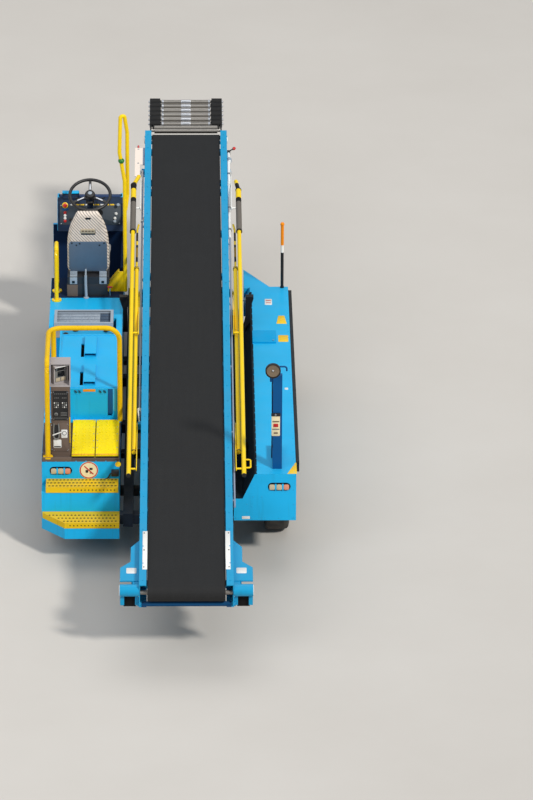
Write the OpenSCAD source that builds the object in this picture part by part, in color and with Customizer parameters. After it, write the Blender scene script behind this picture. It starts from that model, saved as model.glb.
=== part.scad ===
/* [Chassis] */
// Width over both side bodies
body_w = 2070; // [2060:10:2200]
// Rear bumper, behind the middle of the conveyor
rear_y = 2190; // [2180:10:2300]
// Front face of the cowl, ahead of the middle of the conveyor
front_y = 2640; // [2620:10:2800]
// Distance between front and rear axle
wheelbase = 2820; // [2780:10:2860]
// Rear axle, behind the middle of the conveyor
rear_axle_y = 1460; // [1430:10:1480]
// Underside of the bodies
body_z = 300; // [280:10:310]
// Depth of the chassis rails
rail_h = 120; // [100:5:130]
// Width of a chassis rail
rail_w = 80; // [60:5:90]
// Width of the rubber rub strip on the right
strip_t = 30; // [20:1:34]

/* [Left body] */
// Inner face of the left body, from the machine's middle
left_inner_x = 400; // [390:5:410]
// Rear panel above the steps, behind the middle of the conveyor
panel_y = 1800; // [1790:5:1820]
// Deck of the rear platform
platform_z = 770; // [750:5:790]
// Tread height of the upper step
upper_step_z = 593; // [580:5:610]
// Tread height of the lower step
lower_step_z = 375; // [365:5:385]
// Depth of the lip that hangs from each tread
lip_h = 48; // [40:2:55]
// Diameter of a hole in the treads
tread_hole_d = 18; // [8:1:20]
// Rear face of the engine housing, behind the middle of the conveyor
housing_rear_y = 1033; // [1020:5:1050]
// Top of the engine housing under its hood
housing_z = 1000; // [980:10:1020]
// Thickness of the hood
hood_h = 50; // [40:5:60]
// Front edge of the hood
hood_front_y = 80; // [60:5:100]
// Front face of the engine housing
housing_front_y = 600; // [590:5:620]
// Deck under the driver's seat
seat_deck_z = 800; // [790:5:830]
// Front edge of that deck
seat_deck_y = 1850; // [1840:5:1870]
// Floor of the footwell
floor_z = 460; // [450:5:480]
// Top of the cowl behind the dash
cowl_z = 1330; // [1300:10:1350]

/* [Right body] */
// Inner face of the right body, from the machine's middle
right_inner_x = 530; // [525:5:535]
// Inner edge of its top
right_top_x = 700; // [690:5:710]
// Height of its top
right_z = 815; // [805:5:840]
// Height of its inner ledge
ledge_z = 595; // [575:5:600]
// Front face
right_front_y = 1615; // [1590:5:1640]
// Tip of the nose beside the conveyor
nose_y = 2030; // [1980:10:2080]

/* [Wheels] */
// Tyre radius
tyre_r = 320; // [310:5:325]
// Tyre width
tyre_w = 200; // [180:5:205]
// Rim radius
rim_r = 195; // [185:5:205]
// Middle of a tyre, inward of the body's outer face
wheel_inset = 145; // [140:1:150]
// Kingpin of a front wheel, inward of the tyre's middle
kingpin_inset = 190; // [185:1:195]
// Radius of a rear wheel arch
rear_arch_r = 400; // [380:5:405]
// Radius of a front wheel arch, wide enough for the steered wheel
front_arch_r = 440; // [436:2:444]

/* [Conveyor] */
// Middle of the conveyor, to the right of the machine's middle
boom_x = 145; // [143:1:147]
// Belt surface above the ground at the conveyor's middle
boom_z = 1000; // [995:5:1030]
// Slope of the conveyor as it stands, up to the front
boom_tilt = 4.6; // [4:0.1:5]
// Length over the belt
belt_l = 8000; // [7800:50:8200]
// Belt width
belt_w = 610; // [580:5:615]
// Belt thickness
belt_t = 8; // [6:1:10]
// Outside radius of the belt where it turns
belt_turn_r = 70; // [66:1:72]
// Width over the side frames
frame_w = 742; // [738:2:744]
// Depth of the side frames
frame_h = 202; // [196:2:206]
// Height of the side frames above the belt surface
frame_rise = 22; // [16:1:28]
// Sheet thickness of the side frames
sheet_t = 8; // [6:1:10]
// Width of the bumper corners at the tail, beside a side frame
tail_w = 150; // [130:5:165]
// Radius of the bumper tubes at the tail
bumper_r = 48; // [40:1:52]

/* [Roller nose] */
// Pitch of the nose rollers
roller_pitch = 92; // [88:1:95]
// Radius of the nose rollers
roller_r = 19; // [16:1:21]
// Half length of a nose roller
roller_half = 225; // [215:5:230]
// Radius of the two wide rollers at the nose's root
wide_roller_r = 22; // [18:1:24]

/* [Lift] */
// Pivot of the lift arms on the chassis, behind the conveyor's middle
arm_pivot_y = 450; // [440:5:460]
// Height of that pivot
arm_pivot_z = 500; // [490:5:505]
// Conveyor trunnion, along the conveyor behind its middle
trunnion_s = 1750; // [1730:10:1770]
// Trunnion below the belt surface
trunnion_w = 215; // [212:1:220]
// Height between the lift arm and its parallel link
link_drop = 130; // [125:1:135]
// Radius of the trunnion and arm pivot shafts
pin_r = 22; // [18:1:25]
// Radius of the smaller pins
small_pin_r = 14; // [12:1:16]
// Radius of a lift cylinder's barrel
barrel_r = 32; // [28:1:34]
// Radius of the rods
rod_r = 18; // [14:1:20]

/* [Handrails] */
// Length of a handrail post between its pivots
post_l = 900; // [880:5:920]
// Slope of a post as it lies folded
post_fold = 6.5; // [6:0.1:7]
// Handrail tube radius
hand_tube_r = 18; // [15:1:18]
// Radius of the foam sleeve at the front of the top rail
foam_r = 25; // [21:1:26]

/* [Driver and operator] */
// Seat width
seat_w = 410; // [380:10:420]
// Steering wheel radius
steer_r = 192; // [180:2:196]
// Tube radius of the platform's guard rail
guard_r = 21; // [16:1:24]
// Height of the guard rail's middle line at the top
guard_z = 1610; // [1580:10:1650]
// Top of the control console
console_z = 1390; // [1360:10:1410]
// Top of the tall grab post
grab_z = 2445; // [2400:5:2480]
// Height of the work lamp's post
lamp_post_h = 830; // [800:5:850]
// Height of the marker mast
mast_h = 600; // [560:10:640]

/* [Hidden] */
$fn = 48;

blue = "deepskyblue";
dark_blue = "steelblue";
yellow = "gold";
black = "dimgray";
grey = "silver";

// Radial clearance of a shaft in its bore, and the gap below what only rests
bore_gap = 0.05;
seat_gap = 0.3;

half_w = body_w / 2;
front_axle_y = wheelbase - rear_axle_y;
axle_z = tyre_r;
gap_mid = (right_inner_x - left_inner_x) / 2;
frame_half = frame_w / 2;
frame_bottom = frame_rise - frame_h;
drum_s = belt_l / 2 - belt_turn_r;

// The rollers ahead of the belt: two wide ones on the conveyor, the others on the nose
wide_s = [71, 138];
wide_w = -wide_roller_r - 3;
head_end = belt_l / 2 + wide_s[1];
first_roller = 75;
roller_count = 6;
cheek_r = 33;
nose_reach = first_roller + (roller_count - 1) * roller_pitch;

// The origin lies below the middle of the whole outline
front_tip_y = (head_end + nose_reach) * cos(boom_tilt) - wide_w * sin(boom_tilt) + cheek_r;
rear_tip_y = drum_s * cos(boom_tilt) - belt_turn_r * sin(boom_tilt) + belt_turn_r;
shift_x = -strip_t / 2;
shift_y = (rear_tip_y - front_tip_y) / 2;

module on_chassis() translate([shift_x, shift_y, 0]) children();
module on_lift() on_chassis() translate([boom_x, 0, 0]) children();
// The conveyor's own frame: X across, Y along it to the front, Z up from the belt surface
module on_boom() on_lift() translate([0, 0, boom_z]) rotate([boom_tilt, 0, 0]) children();
function boom_point(s, w) = [
  s * cos(boom_tilt) - w * sin(boom_tilt),
  boom_z + s * sin(boom_tilt) + w * cos(boom_tilt)
];

// A box between two corners
module span(a, b) translate(a) cube(b - a);
module both_sides() {
  children();
  mirror([1, 0, 0]) children();
}
// A cylinder along X from x0 to x1
module shaft(x0, x1, y, z, r) translate([x0, y, z]) rotate([0, 90, 0]) cylinder(r = r, h = x1 - x0);
// A cylinder along Y from y0 to y1
module spindle(x, y0, y1, z, r) translate([x, y0, z]) rotate([-90, 0, 0]) cylinder(r = r, h = y1 - y0);
// A side view outline, points [y, z], made solid from x0 to x1
module slab(x0, x1, points) translate([x0, 0, 0]) rotate([90, 0, 90]) linear_extrude(x1 - x0) polygon(points);
// A rear view shape, drawn as [x, z], made solid from y0 to y1
module wall(y0, y1) translate([0, y1, 0]) rotate([90, 0, 0]) linear_extrude(y1 - y0) children();
// A round bar between two points
module bar(p, q, r) {
  v = q - p;
  translate(p) rotate([0, acos(v.z / norm(v)), atan2(v.y, v.x)]) cylinder(r = r, h = norm(v));
}
// An outline with round ends, w wide over all and h high
module slot_shape(w, h) union() {
  square([w - h, h], center = true);
  for (x = [h - w, w - h]) translate([x / 2, 0]) circle(d = h);
}
function unit(v) = v / norm(v);
// Points of a path whose inner corners are rounded with the given bend radius
function bent_path(points, bend, steps = 6) =
  let (n = len(points), dirs = [for (i = [0:n - 2]) unit(points[i + 1] - points[i])])
  concat([points[0]], [
    for (i = [1:n - 2]) let (
      u = dirs[i - 1],
      turn = acos(u * dirs[i]),
      side = unit(dirs[i] - u * (u * dirs[i])),
      centre = points[i] - u * bend * tan(turn / 2) + side * bend
    ) for (k = [0:steps]) centre + bend * (u * sin(turn * k / steps) - side * cos(turn * k / steps))
  ], [points[n - 1]]);
// A tube through points, bent at each inner point
module bent_tube(points, r, bend, sides = 16) {
  path = bent_path(points, bend);
  n = len(path);
  steps = [for (i = [0:n - 2]) unit(path[i + 1] - path[i])];
  tangents = [for (i = [0:n - 1])
    i == 0 ? steps[0] : i == n - 1 ? steps[n - 2] : unit(steps[i - 1] + steps[i])];
  rings = [for (i = [0:n - 1]) let (
    u = unit(cross(tangents[i], [1, 2, 3])),
    v = cross(tangents[i], u)
  ) for (k = [0:sides - 1]) path[i] + r * (u * cos(k * 360 / sides) + v * sin(k * 360 / sides))];
  walls = [for (i = [0:n - 2], k = [0:sides - 1]) let (
    a = i * sides + k,
    b = i * sides + (k + 1) % sides
  ) for (f = [[a, a + sides, b], [b, a + sides, b + sides]]) f];
  caps = [[for (k = [0:sides - 1]) k], [for (k = [sides - 1:-1:0]) (n - 1) * sides + k]];
  polyhedron(points = rings, faces = concat(walls, caps));
}

// Places across the machine, all from its width
deck_x = half_w - 50;
housing_x = half_w - 115;
wheel_x = half_w - wheel_inset;
kingpin_x = wheel_x - kingpin_inset;
arch_x = wheel_x - tyre_w / 2 - 150;
console_x = half_w - 80;
console_w = 155;
guard_x = half_w - 52;
guard_leg_x = left_inner_x + guard_r - 18;
seat_x = -(half_w + left_inner_x) / 2 + 12;
cowl_x = half_w - 45;
axle_gap = 5;

// Lift geometry, side view points [y, z]
arm_pivot = [-arm_pivot_y, arm_pivot_z];
trunnion = boom_point(-trunnion_s, -trunnion_w);
link_pivot = arm_pivot - [0, link_drop];
link_end = trunnion - [0, link_drop];
lift_foot = arm_pivot - [450, 210];
lift_eye = arm_pivot + (trunnion - arm_pivot) / 2;
tilt_foot = trunnion + [520, -300];
tilt_eye_s = 500;
tilt_eye_w = 210;
tilt_eye = boom_point(-tilt_eye_s, -tilt_eye_w);
arm_x = 215;
arm_t = 30;
arm_half = 30;
link_x = 80;
link_t = 15;
link_half = 26;
carrier_x = 62;
carrier_t = 15;
lift_x = 165;
lug_gap = 36;
lug_t = 12;
eye_half = 34;
eye_r = 24;

// A flat bar with round ends between side view points, lying from x0 to x1
module flat_link(x0, x1, a, b, r) along(a, b) {
  span([x0, 0, -r], [x1, norm(b - a), r]);
  for (y = [0, norm(b - a)]) shaft(x0, x1, y, 0, r);
}
// Place children along the line from a to b, local +Y pointing to b
module along(a, b) {
  v = b - a;
  translate([0, a.x, a.y]) rotate([atan2(v.y, v.x), 0, 0]) children();
}

// Chassis: rails, cross members, lift brackets and the hitch
rail_left_x = -left_inner_x + 30;
rail_right_x = right_inner_x - 25 - rail_w;
member_w = 90;
// Rear edge of a cross member, its underside and its top
function members() = [
  [100 - rear_y, body_z + 20, body_z + rail_h - 20],
  [arm_pivot.x - 350, body_z, body_z + 45],
  [arm_pivot.x + 110, body_z + 20, body_z + rail_h - 20],
  [arm_pivot.x + 1050, body_z + 20, body_z + rail_h - 20],
  [front_y - 340, body_z + 20, body_z + rail_h - 20]
];
member_y = 0;
member_low = 1;
member_top = 2;
hitch_y = -rear_y - 30;
hitch_r = 60;
hitch_pin_r = 16.5;
module lift_brackets() {
  near = members()[2][member_y];
  far = members()[1][member_y];
  slab(arm_x + arm_t + 5, arm_x + arm_t + 17, [
    [near, body_z + 20], [near + member_w, body_z + 20], [arm_pivot.x + 50, arm_pivot.y + 40],
    [arm_pivot.x - 40, arm_pivot.y + 40], [arm_pivot.x - 40, arm_pivot.y - 40], [near, body_z + 60]
  ]);
  slab(link_x + link_t + 3, link_x + link_t + 15, [
    [near, body_z + 20], [near + 40, body_z + 99], [link_pivot.x - 25, link_pivot.y + 28],
    [link_pivot.x - 25, link_pivot.y - 28]
  ]);
  for (x = [lift_x - lug_gap - lug_t, lift_x + lug_gap]) slab(x, x + lug_t, [
    [far + 10, body_z + 1], [far + 10, body_z + 44], [lift_foot.x - 28, lift_foot.y + 30],
    [lift_foot.x - 28, lift_foot.y - 30], [lift_foot.x + 60, lift_foot.y - 30]
  ]);
  shaft(0, arm_x + arm_t + 17, arm_pivot.x, arm_pivot.y, pin_r);
  shaft(0, link_x + link_t + 15, link_pivot.x, link_pivot.y, small_pin_r);
  shaft(lift_x - lug_gap - lug_t, lift_x + lug_gap + lug_t, lift_foot.x, lift_foot.y, small_pin_r);
}
module hitch() translate([gap_mid, 0, 0]) difference() {
  for (z = [body_z + 20, body_z + rail_h - 38]) translate([0, 0, z]) linear_extrude(18) union() {
    translate([-hitch_r, hitch_y]) square([2 * hitch_r, 101 - rear_y - hitch_y]);
    translate([0, hitch_y]) circle(r = hitch_r);
  }
  translate([0, hitch_y, body_z]) cylinder(r = hitch_pin_r, h = rail_h);
}
module cross_member(m, gap) span([-left_inner_x - gap, m[member_y] - gap, m[member_low] - gap],
  [right_inner_x + gap, m[member_y] + member_w + gap, m[member_top] + gap]);
module chassis_frame() color(dark_blue) on_chassis() {
  difference() {
    for (x = [rail_left_x, rail_right_x])
      span([x, 90 - rear_y, body_z], [x + rail_w, front_y - 140, body_z + rail_h]);
    for (m = members()) cross_member(m, seat_gap);
    shaft(-half_w, half_w, -rear_axle_y, axle_z, axle_r + seat_gap);
  }
  union() {
    for (m = members()) cross_member(m, 0);
    translate([boom_x, 0, 0]) both_sides() lift_brackets();
    hitch();
  }
}

// Left body: steps, platform block, engine housing, driver's deck and cowl
step_body_z = upper_step_z - lip_h;
step_y = panel_y + 165;
bumper_top = lower_step_z - lip_h + seat_gap;
chamfer = [190, 200];
lamp_slot_w = 184;
lamp_slot_h = 70;
slot_depth = 10;
left_lamp = [-half_w + 155, panel_y, 665];
right_lamp = [half_w - 138, rear_y, 703];
module lamp_slot(at) translate([at.x, 0, at.z])
  wall(-at.y - 1, slot_depth - at.y) slot_shape(lamp_slot_w, lamp_slot_h);
module left_shell() union() {
  slab(-half_w, -left_inner_x, [
    [-step_y, body_z], [-step_y, step_body_z], [-panel_y, step_body_z], [-panel_y, platform_z],
    [housing_front_y, platform_z], [housing_front_y, seat_deck_z], [seat_deck_y, seat_deck_z],
    [seat_deck_y, floor_z], [front_y - 20, floor_z], [front_y - 20, floor_z - 40],
    [seat_deck_y, floor_z - 40], [seat_deck_y, body_z]
  ]);
  span([-housing_x, -housing_rear_y, platform_z - 1], [-left_inner_x, housing_front_y, housing_z]);
  span([-deck_x, hood_front_y + 20, platform_z - 1], [-housing_x + 1, housing_front_y, housing_z]);
  span([-half_w, front_y - 50, floor_z - 40], [-left_inner_x, front_y - 20, 1000]);
  span([-left_inner_x - 30, seat_deck_y - 1, floor_z - 40], [-left_inner_x, front_y - 21, 900]);
  translate([0, 0, body_z - 65]) linear_extrude(lower_step_z - lip_h - body_z + 65) polygon([
    [-half_w, -step_y + 1], [-half_w, chamfer.y - rear_y], [chamfer.x - half_w, -rear_y],
    [-left_inner_x, -rear_y], [-left_inner_x, -step_y + 1]
  ]);
}
module left_body() color(blue) on_chassis() difference() {
  left_shell();
  shaft(-half_w - 1, -arch_x, -rear_axle_y, axle_z, rear_arch_r);
  shaft(-half_w - 1, -kingpin_x + 140, front_axle_y, axle_z, front_arch_r);
  span([-arch_x - 1, -rear_axle_y - axle_r - axle_gap, body_z - 1],
    [1 - left_inner_x, axle_r + axle_gap - rear_axle_y, axle_z + axle_r + axle_gap]);
  span([15 - housing_x, 80 - housing_rear_y, body_z + 40],
    [-left_inner_x - 50, housing_front_y - 80, housing_z + 1]);
  span([-left_inner_x - 105, -housing_rear_y - 1, platform_z + 30],
    [-left_inner_x - 68, 40 - housing_rear_y, housing_z - 20]);
  lamp_slot(left_lamp);
}

module right_body() color(blue) on_chassis() difference() {
  union() {
    wall(-rear_y, right_front_y) polygon([
      [right_inner_x, body_z + 100], [half_w, body_z + 100], [half_w, right_z], [right_top_x, right_z],
      [right_top_x - slope_run, ledge_z], [right_inner_x, ledge_z]
    ]);
    translate([0, 0, body_z + 150]) linear_extrude(right_z - body_z - 165) polygon([
      [right_top_x - 50, right_front_y - 1], [right_top_x - 50, nose_y], [half_w - 165, right_front_y + 40],
      [half_w - 165, right_front_y - 1]
    ]);
  }
  shaft(arch_x, half_w + 1, -rear_axle_y, axle_z, rear_arch_r);
  span([right_inner_x - 1, -rear_axle_y - axle_r - axle_gap, body_z - 1],
    [arch_x + 1, axle_r + axle_gap - rear_axle_y, axle_z + axle_r + axle_gap]);
  shaft(kingpin_x - 60, half_w + 1, front_axle_y, axle_z, front_arch_r);
  span([right_inner_x + 45, front_axle_y - front_arch_r, body_z],
    [kingpin_x, front_axle_y + front_arch_r, ledge_z - 20]);
  span([hatch_x0 + 10, hatch_y + 10, ledge_z], [hatch_x1 - 10, hatch_y + hatch_l - 10, right_z + 1]);
  lamp_slot(right_lamp);
}
hatch_x0 = right_top_x + 12;
hatch_x1 = half_w - 122;
hatch_y = 402;
hatch_l = 246;
hatch_t = 12;
hinge_r = 7;

// The hood with its two air scoops, open to the rear, and a slit beside each
scoop_x = housing_x - 212;
scoop_w = 101;
scoop_l = 400;
scoop_h = 30;
scoop_t = 5;
scoop_rears = [-955, -385];
slit_w = 26;
module scoop() difference() {
  slab(0, scoop_w, [[0, -1], [0, scoop_h], [scoop_l - 50, scoop_h], [scoop_l, -1]]);
  slab(scoop_t, scoop_w - scoop_t, [
    [-1, 0], [-1, scoop_h - scoop_t], [scoop_l - 60, scoop_h - scoop_t], [scoop_l - 30, 0]
  ]);
}
module left_hood() color(blue) on_chassis() difference() {
  union() {
    span([-housing_x, -housing_rear_y, housing_z + seat_gap],
      [-left_inner_x - 5, hood_front_y - hinge_r, housing_z + hood_h]);
    for (y = scoop_rears) translate([-scoop_x, y, housing_z + hood_h]) scoop();
    shaft(60 - housing_x, -left_inner_x - 60, hood_front_y - hinge_r, housing_z + hood_h / 2, hinge_r);
  }
  span([15 - housing_x, 15 - housing_rear_y, housing_z - 1],
    [-left_inner_x - 20, hood_front_y - 30, housing_z + hood_h - 12]);
  for (y = scoop_rears)
    span([-scoop_x - 3 - slit_w, y - 10, housing_z], [-scoop_x - 3, y + 260, housing_z + hood_h + 1]);
}

// Louvred air outlet beside the driver
grille_y = 290;
grille_l = 285;
grille_h = 56;
slat_pitch = 29;
module vent_grille() color(grey) on_chassis() translate([0, grille_y, housing_z]) union() {
  difference() {
    span([8 - deck_x, 0, seat_gap], [-left_inner_x - 74, grille_l, grille_h]);
    span([33 - deck_x, 25, -1], [-left_inner_x - 99, grille_l - 25, grille_h + 1]);
  }
  for (i = [0:7]) translate([30 - deck_x, 32 + i * slat_pitch, 12]) rotate([45, 0, 0])
    cube([deck_x - left_inner_x - 126, 30, 4]);
}

module right_hatch() color(blue) on_chassis() union() {
  span([hatch_x0, hatch_y, right_z + seat_gap], [hatch_x1, hatch_y + hatch_l, right_z + hatch_t]);
  shaft(hatch_x0 + 30, hatch_x1 - 30, hatch_y + hatch_l, right_z + hatch_t - hinge_r + 2, hinge_r);
}

plate_h = 22;
module platform_plate() color(yellow) on_chassis()
  for (x = [-left_inner_x - 390, -left_inner_x - 196])
    span([x, 25 - panel_y, platform_z + seat_gap], [x + 186, -housing_rear_y - 55, platform_z + plate_h]);

// Perforated treads with a lip all round
tread_t = 4;
hole_pitch = 30;
lip_hole_d = 12;
row_pitch = 56;
tread_rows = 3;
module holes(x0, x1, y) for (x = [x0:hole_pitch:x1]) translate([x, y]) circle(d = tread_hole_d, $fn = 12);
module hole_rows(x0, x1, y) for (i = [0:tread_rows - 1])
  holes(x0 + (i % 2) * hole_pitch / 2, x1 - (i % 2) * hole_pitch / 2, y + i * row_pitch);
module upper_outline(t) translate([t - half_w + 35, t - step_y - 5])
  square([half_w - left_inner_x - 45 - 2 * t, step_y - panel_y + 4 - 2 * t]);
module lower_outline(t) polygon([
  [t - half_w + 5, -step_y - 1 - t], [t - half_w + 5, chamfer.y - rear_y + 2],
  [chamfer.x - half_w + t / 2, 5 + t - rear_y],
  [-left_inner_x - t, 5 + t - rear_y], [-left_inner_x - t, -step_y - 1 - t]
]);
module lip_holes(y, z) translate([0, y, z]) rotate([90, 0, 0]) linear_extrude(4 * tread_t, center = true)
  for (x = [235 - half_w:hole_pitch:-left_inner_x - 30]) translate([x, 0]) circle(d = lip_hole_d, $fn = 10);
module rear_steps() color(yellow) on_chassis() difference() {
  union() {
    translate([0, 0, step_body_z + seat_gap]) step_pan() { upper_outline(0); upper_outline(tread_t); }
    translate([0, 0, bumper_top]) step_pan() { lower_outline(0); lower_outline(tread_t); }
  }
  translate([0, 0, upper_step_z - 2 * tread_t]) linear_extrude(3 * tread_t)
    hole_rows(60 - half_w, -left_inner_x - 30, 27 - step_y);
  translate([0, 0, lower_step_z - 2 * tread_t]) linear_extrude(3 * tread_t)
    hole_rows(215 - half_w, -left_inner_x - 30, 42 - rear_y);
  lip_holes(-step_y - 5, upper_step_z - lip_h / 2);
  lip_holes(5 - rear_y, lower_step_z - lip_h / 2);
}
module step_pan() {
  linear_extrude(lip_h - seat_gap) difference() {
    children(0);
    children(1);
  }
  translate([0, 0, lip_h - seat_gap - tread_t]) linear_extrude(tread_t) children(0);
}

module guard_rail() color(yellow) on_chassis() {
  foot = platform_z + seat_gap;
  rear = 30 - panel_y;
  front = -housing_rear_y - 27;
  bent_tube([
    [-guard_x, rear, foot], [-guard_x, rear, guard_z], [-guard_x, front, guard_z],
    [-guard_leg_x, front, guard_z], [-guard_leg_x, front, foot]
  ], guard_r, 110);
  translate([-guard_x, rear, foot]) cylinder(r = 40, h = 12);
  bar([38 - guard_x, front - 27, guard_z], [38 - guard_x, front - 27, foot], guard_r);
}

// Console of the conveyor's controls, its screen box and the panels on its rear face
console_y = panel_y - 60;
console_d = 170;
panel_t = 5;
module control_console() color("gray") on_chassis() translate([-console_x, -console_y, 0]) union() {
  span([0, 0, platform_z + seat_gap], [console_w, console_d, console_z]);
  span([12, -panel_t, platform_z + 40], [console_w - 12, 1, platform_z + 300]);
  span([12, -panel_t, platform_z + 320], [console_w - 12, 1, console_z - 30]);
}
surround_h = 187;
surround_t = 8;
screen_turn = 28;
module screen() difference() {
  slab(-64, 64, [[-30, 0], [-30, 150], [-52, 150], [-52, 158], [30, 166], [30, 0]]);
  slab(-54, 54, [[-31, 14], [-24, 14], [-24, 140], [-31, 140]]);
}
module screen_box() color(grey) on_chassis()
  translate([-console_x - 5, -console_y, console_z + seat_gap]) union() {
  difference() {
    slab(0, console_w + 10, [[0, 0], [40, surround_h], [console_d, surround_h], [console_d, 0]]);
    slab(surround_t, console_w + 10 - surround_t, [
      [-1, surround_t], [36, surround_h - surround_t], [console_d - surround_t, surround_h - surround_t],
      [console_d - surround_t, surround_t]
    ]);
  }
  translate([console_w / 2 - 3, console_d / 2, surround_t - 1]) rotate([0, 0, screen_turn]) screen();
}

// Cowl with the dash, and the steering column
dash_y = front_y - 230;
wheel_centre = [seat_x + 5, front_y - 315, 1390];
wheel_tilt = 26.6;
module dash() color("slategray") on_chassis() union() {
  slab(-cowl_x, -left_inner_x - 10, [
    [dash_y, 1010], [dash_y + 20, 1060], [dash_y + 80, 1240], [dash_y + 120, cowl_z - 50],
    [front_y - 40, cowl_z - 50], [front_y, 1150], [front_y, floor_z + seat_gap],
    [front_y - 20 + seat_gap, floor_z + seat_gap], [front_y - 20 + seat_gap, 1000 + seat_gap],
    [dash_y + 10, 1000 + seat_gap]
  ]);
  slab(-cowl_x + 40, -cowl_x + 190, [
    [dash_y + 100, cowl_z - 51], [dash_y + 120, cowl_z], [front_y - 70, cowl_z], [front_y - 50, cowl_z - 51]
  ]);
  bar([wheel_centre.x, dash_y + 60, 1120], wheel_centre - [0, -9, 18], 28);
}
module steering_wheel() color(black) on_chassis() translate(wheel_centre) rotate([wheel_tilt, 0, 0]) union() {
  rotate_extrude() translate([steer_r - 14, 0]) circle(r = 14);
  for (a = [90, 210, 330]) rotate([0, 0, a]) translate([0, -12, -6]) cube([steer_r - 14, 24, 8]);
  translate([0, 0, -10]) cylinder(r = 45, h = 22);
}

// Driver's seat
seat_y = 1600;
seat_z = 985;
seat_d = 440;
cushion_t = 100;
back_h = 590;
back_t = 95;
back_lean = 8;
module seat_base() color("lightslategray") on_chassis() translate([seat_x, seat_y, seat_deck_z]) union() {
  span([-95, -120, seat_gap], [85, 160, 130]);
  span([-0.44 * seat_w, -160, 120], [0.44 * seat_w, 200, seat_z - seat_deck_z]);
}
module seat_cushion() color("gainsboro") on_chassis() translate([seat_x, seat_y, seat_z + seat_gap])
  translate([-seat_w / 2, 0, 0]) cube([seat_w, seat_d, cushion_t]);
module seat_back() color("gainsboro") on_chassis() translate([seat_x, seat_y - 10, seat_z + seat_gap])
  rotate([back_lean, 0, 0]) wall(-back_t, -5) polygon([
    [-seat_w / 2 + 12, 14], [seat_w / 2 - 12, 14], [seat_w / 2, 60], [seat_w / 2, 0.42 * back_h],
    [seat_w / 2 - 30, 0.5 * back_h], [0.3 * seat_w, back_h - 40], [0.24 * seat_w, back_h],
    [-0.24 * seat_w, back_h], [-0.3 * seat_w, back_h - 40], [30 - seat_w / 2, 0.5 * back_h],
    [-seat_w / 2, 0.42 * back_h], [-seat_w / 2, 60]
  ]);

// Entry handle and the tall grab post with its loop and foot gusset
entry_y = 1360;
handle_x = half_w - 55;
grab_y = 1560;
grab_r = 17;
grab_x = left_inner_x - 15;
gusset = [
  [-590, seat_deck_z + seat_gap], [-446, 985], [5 - grab_x, 985], [5 - grab_x, seat_deck_z + seat_gap]
];
module grab_rails() color(yellow) on_chassis() {
  foot = seat_deck_z + seat_gap;
  top = grab_z - grab_r;
  bent_tube([
    [-grab_x, grab_y, foot], [-grab_x, grab_y, 1836], [-grab_x - 43, grab_y + 10, 2100],
    [-grab_x - 33, grab_y + 25, top], [2 - grab_x, grab_y + 35, top],
    [24 - grab_x, grab_y + 60, top - 160], [24 - grab_x, grab_y + 60, 1690], [6 - grab_x, grab_y + 12, 1560]
  ], grab_r, 18);
  wall(grab_y - 8, grab_y + 4) polygon(gusset);
  wall(grab_y - 8, grab_y + 60) polygon([
    gusset[0], gusset[1], gusset[1] + [10, -2], gusset[0] + [14, 0]
  ]);
  bent_tube([
    [-handle_x, entry_y, foot], [-handle_x, entry_y, 1280], [-handle_x, entry_y + 200, 1280],
    [-handle_x, entry_y + 200, foot]
  ], grab_r, 70);
  for (y = [entry_y, entry_y + 200]) translate([-handle_x, y, foot]) cylinder(r = 42, h = 10);
}

// Lamp post on the right body, its lamp and the marker mast
lamp_post_x = half_w - 154;
lamp_x = lamp_post_x - 38;
lamp_r = 62;
lamp_z = right_z + lamp_post_h + 67;
module lamp_post() color(dark_blue) on_chassis() translate([lamp_post_x, -rear_y, right_z]) union() {
  span([-37, 100, seat_gap], [38, 490, 60]);
  span([-37, 100, 50], [38, 145, lamp_post_h]);
  span([-62, 110, lamp_post_h - 60], [-16, 134, lamp_post_h + 90]);
  bent_tube([[-30, 122, lamp_post_h + 70], [74, 122, lamp_post_h + 70], [74, 122, lamp_post_h + 32]], 7, 20);
}
module work_lamp() color(black) on_chassis()
  translate([lamp_x, 110 - seat_gap - rear_y, lamp_z]) rotate([90, 0, 0]) union() {
  cylinder(r = 30, h = 30);
  translate([0, 0, 25]) cylinder(r1 = 34, r2 = lamp_r, h = 25);
  difference() {
    translate([0, 0, 49]) cylinder(r = lamp_r, h = 26);
    translate([0, 0, 60]) cylinder(r = lamp_r - 6, h = 20);
  }
}
module marker_mast() color(yellow) on_chassis() translate([half_w - 52, right_front_y - 18, right_z]) {
  translate([0, 0, seat_gap]) cylinder(r = 17, h = 10);
  translate([0, 0, 9]) cylinder(r = 13.5, h = mast_h - 9);
  translate([0, 0, mast_h]) sphere(r = 18);
}

// Lamps in the two rear slots, three lenses each
lens_w = 58;
lens_h = 54;
module lamp_cluster(at) translate([at.x, 0, at.z]) {
  wall(slot_depth - at.y - 6, slot_depth - at.y - seat_gap) slot_shape(lamp_slot_w - 4, lamp_slot_h - 4);
  wall(slot_depth - at.y - 16, slot_depth - at.y - 5) union() {
    square([lens_w - 6, lens_h], center = true);
    for (x = [-1, 1]) intersection() {
      slot_shape(lamp_slot_w - 14, lens_h);
      translate([x * (lens_w + 20), 0]) square([lens_w + 34, lens_h + 2], center = true);
    }
  }
}
module body_lamps() color("tomato") on_chassis() {
  lamp_cluster(left_lamp);
  lamp_cluster(right_lamp);
}

strip_z = 700;
strip_h = 90;
module side_strip() color(black) on_chassis()
  span([half_w + seat_gap, 290 - rear_y, strip_z], [half_w + strip_t, right_front_y - 20, strip_z + strip_h]);

module power_pack() color(black) on_chassis() span(
  [30 - housing_x, 130 - housing_rear_y, body_z + 40 + seat_gap],
  [-left_inner_x - 70, housing_front_y - 350, housing_z - 70]
);

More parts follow.
